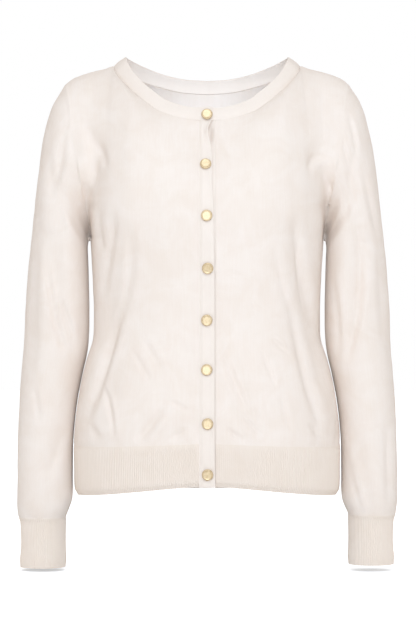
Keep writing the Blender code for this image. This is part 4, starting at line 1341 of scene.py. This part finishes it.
def upper_shape(points, u, v):
    height = points[:, 2]
    curl = CURL_LIFT * hump(height, CURL_Z, CURL_REACH) * to_free_edge(u, CURL_START)
    wave = EDGE_WAVE * uneven(height, 0 * height, EDGE_WAVE_SIZE, seed=41)
    lip = LIP * to_free_edge(u, LIP_START) + np.abs(wave * to_free_edge(u, EDGE_WAVE_START))
    return -(LAP_LIFT * smooth_step(u / RISE) + curl + lip)


# %% Front bands
def upper_edge(height):
    return read(BAND_EDGE, "z", "x", height)


under_edges = constant(-UNDER_END_X), constant(UNDER_SEAM_X)
under_band = front_band("band_under", *under_edges, under_shape, "r")
under = declare(under_band, "button_band")
upper_band = front_band("band_upper", constant(-BAND_SEAM_X), upper_edge, upper_shape, "l")
upper = declare(upper_band, "buttonhole_band")
rounded_edges(under, UNDER_RIM)
rounded_edges(upper, UPPER_RIM)

# %% [markdown]
# ## Buttons
# The buttons are turned metal discs in a pale gold, with a rounded rim and a lower, satin face. A
# turned shape is easiest as half of its outline, spun once round. A short shank goes through the
# buttonhole, so no thread shows. The face is finely hammered: one noise drives its bump, tone and
# roughness.

# %% Pale gold
GOLD_DARK, GOLD_PALE = (0.60, 0.45, 0.265), (0.74, 0.59, 0.385)
WEAR = {"Scale": 420.0, "Detail": 3.0}
WEAR_RANGE, WORN_ROUGHNESS = (0.35, 0.65), (0.4, 0.55)
DENT_STRENGTH, DENT_DEPTH = 0.45, 0.0002
gold, gold_tree, gold_shader = new_material("pale_gold")
gold_place = node(gold_tree, "ShaderNodeTexCoord", {}).outputs["Object"]
wear = node(gold_tree, "ShaderNodeTexNoise", {"Vector": gold_place, **WEAR}).outputs[0]
worn_inputs = dict(enumerate((wear, *WEAR_RANGE, *WORN_ROUGHNESS)))
dent_inputs = {"Strength": DENT_STRENGTH, "Distance": DENT_DEPTH, "Height": wear}
set_inputs(gold_tree, gold_shader, {
    "Metallic": 1.0,
    "Roughness": node(gold_tree, "ShaderNodeMapRange", worn_inputs).outputs[0],
    "Base Color": blended(gold_tree, spread(gold_tree, wear, *WEAR_RANGE), GOLD_DARK, GOLD_PALE),
    "Normal": node(gold_tree, "ShaderNodeBump", dent_inputs).outputs[0],
})
print("gold:", len(gold_tree.nodes), "nodes")

# %% Where a button sits
def button_place(solid):
    """The middle of the back of a button's solid, and the way it faces."""
    points = np.array([vertex.co for vertex in solid.data.vertices])
    middle = points.mean(axis=0)
    flattest = np.linalg.svd(points - middle, full_matrices=False)[2][2]
    out = flattest * np.sign(-flattest[1])
    back = middle + out * ((points - middle) @ out).min()
    turn = Vector(out).to_track_quat("Z", "X").to_matrix().to_4x4()
    return Matrix.Translation(Vector(back)) @ turn


# %% Turned buttons
BUTTONS = 8
BUTTON_OUTLINE = (  # radius and level in mm
    (0.0, -2.6), (1.1, -2.6), (1.1, -0.1), (5.6, 0.0), (6.9, 0.45), (7.25, 1.1), (7.2, 1.75),
    (6.85, 2.25), (6.35, 2.5), (5.9, 2.4), (5.5, 2.05), (5.0, 1.95), (3.0, 2.02), (0.0, 2.05),
)
BUTTON_STEPS, BUTTON_WELD = 48, 0.00001
BUTTON_SHARP = 45  # degrees


def button(name):
    turned = bmesh.new()
    outline = [turned.verts.new((radius * MM, 0.0, level * MM)) for radius, level in BUTTON_OUTLINE]
    edges = [turned.edges.new(pair) for pair in zip(outline[:-1], outline[1:])]
    bmesh.ops.spin(
        turned, geom=outline + edges, axis=(0, 0, 1), cent=(0, 0, 0),
        angle=2 * math.pi, steps=BUTTON_STEPS, use_merge=True,
    )
    bmesh.ops.remove_doubles(turned, verts=turned.verts, dist=BUTTON_WELD)
    bmesh.ops.recalc_face_normals(turned, faces=turned.faces)
    bmesh.ops.transform(turned, verts=turned.verts, matrix=button_place(frame["nodes"][name]))
    mesh = bpy.data.meshes.new("gold_" + name)
    turned.to_mesh(mesh)
    turned.free()
    mesh.materials.append(gold)
    mesh.shade_smooth()
    mesh.set_sharp_from_angle(angle=math.radians(BUTTON_SHARP))
    piece = add_object("gold_" + name, mesh)
    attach(piece, "root")
    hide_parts(name)


for number in range(1, BUTTONS + 1):
    button(f"button_{number}")
print("buttons:", BUTTONS, "with", len(BUTTON_OUTLINE), "outline points each")
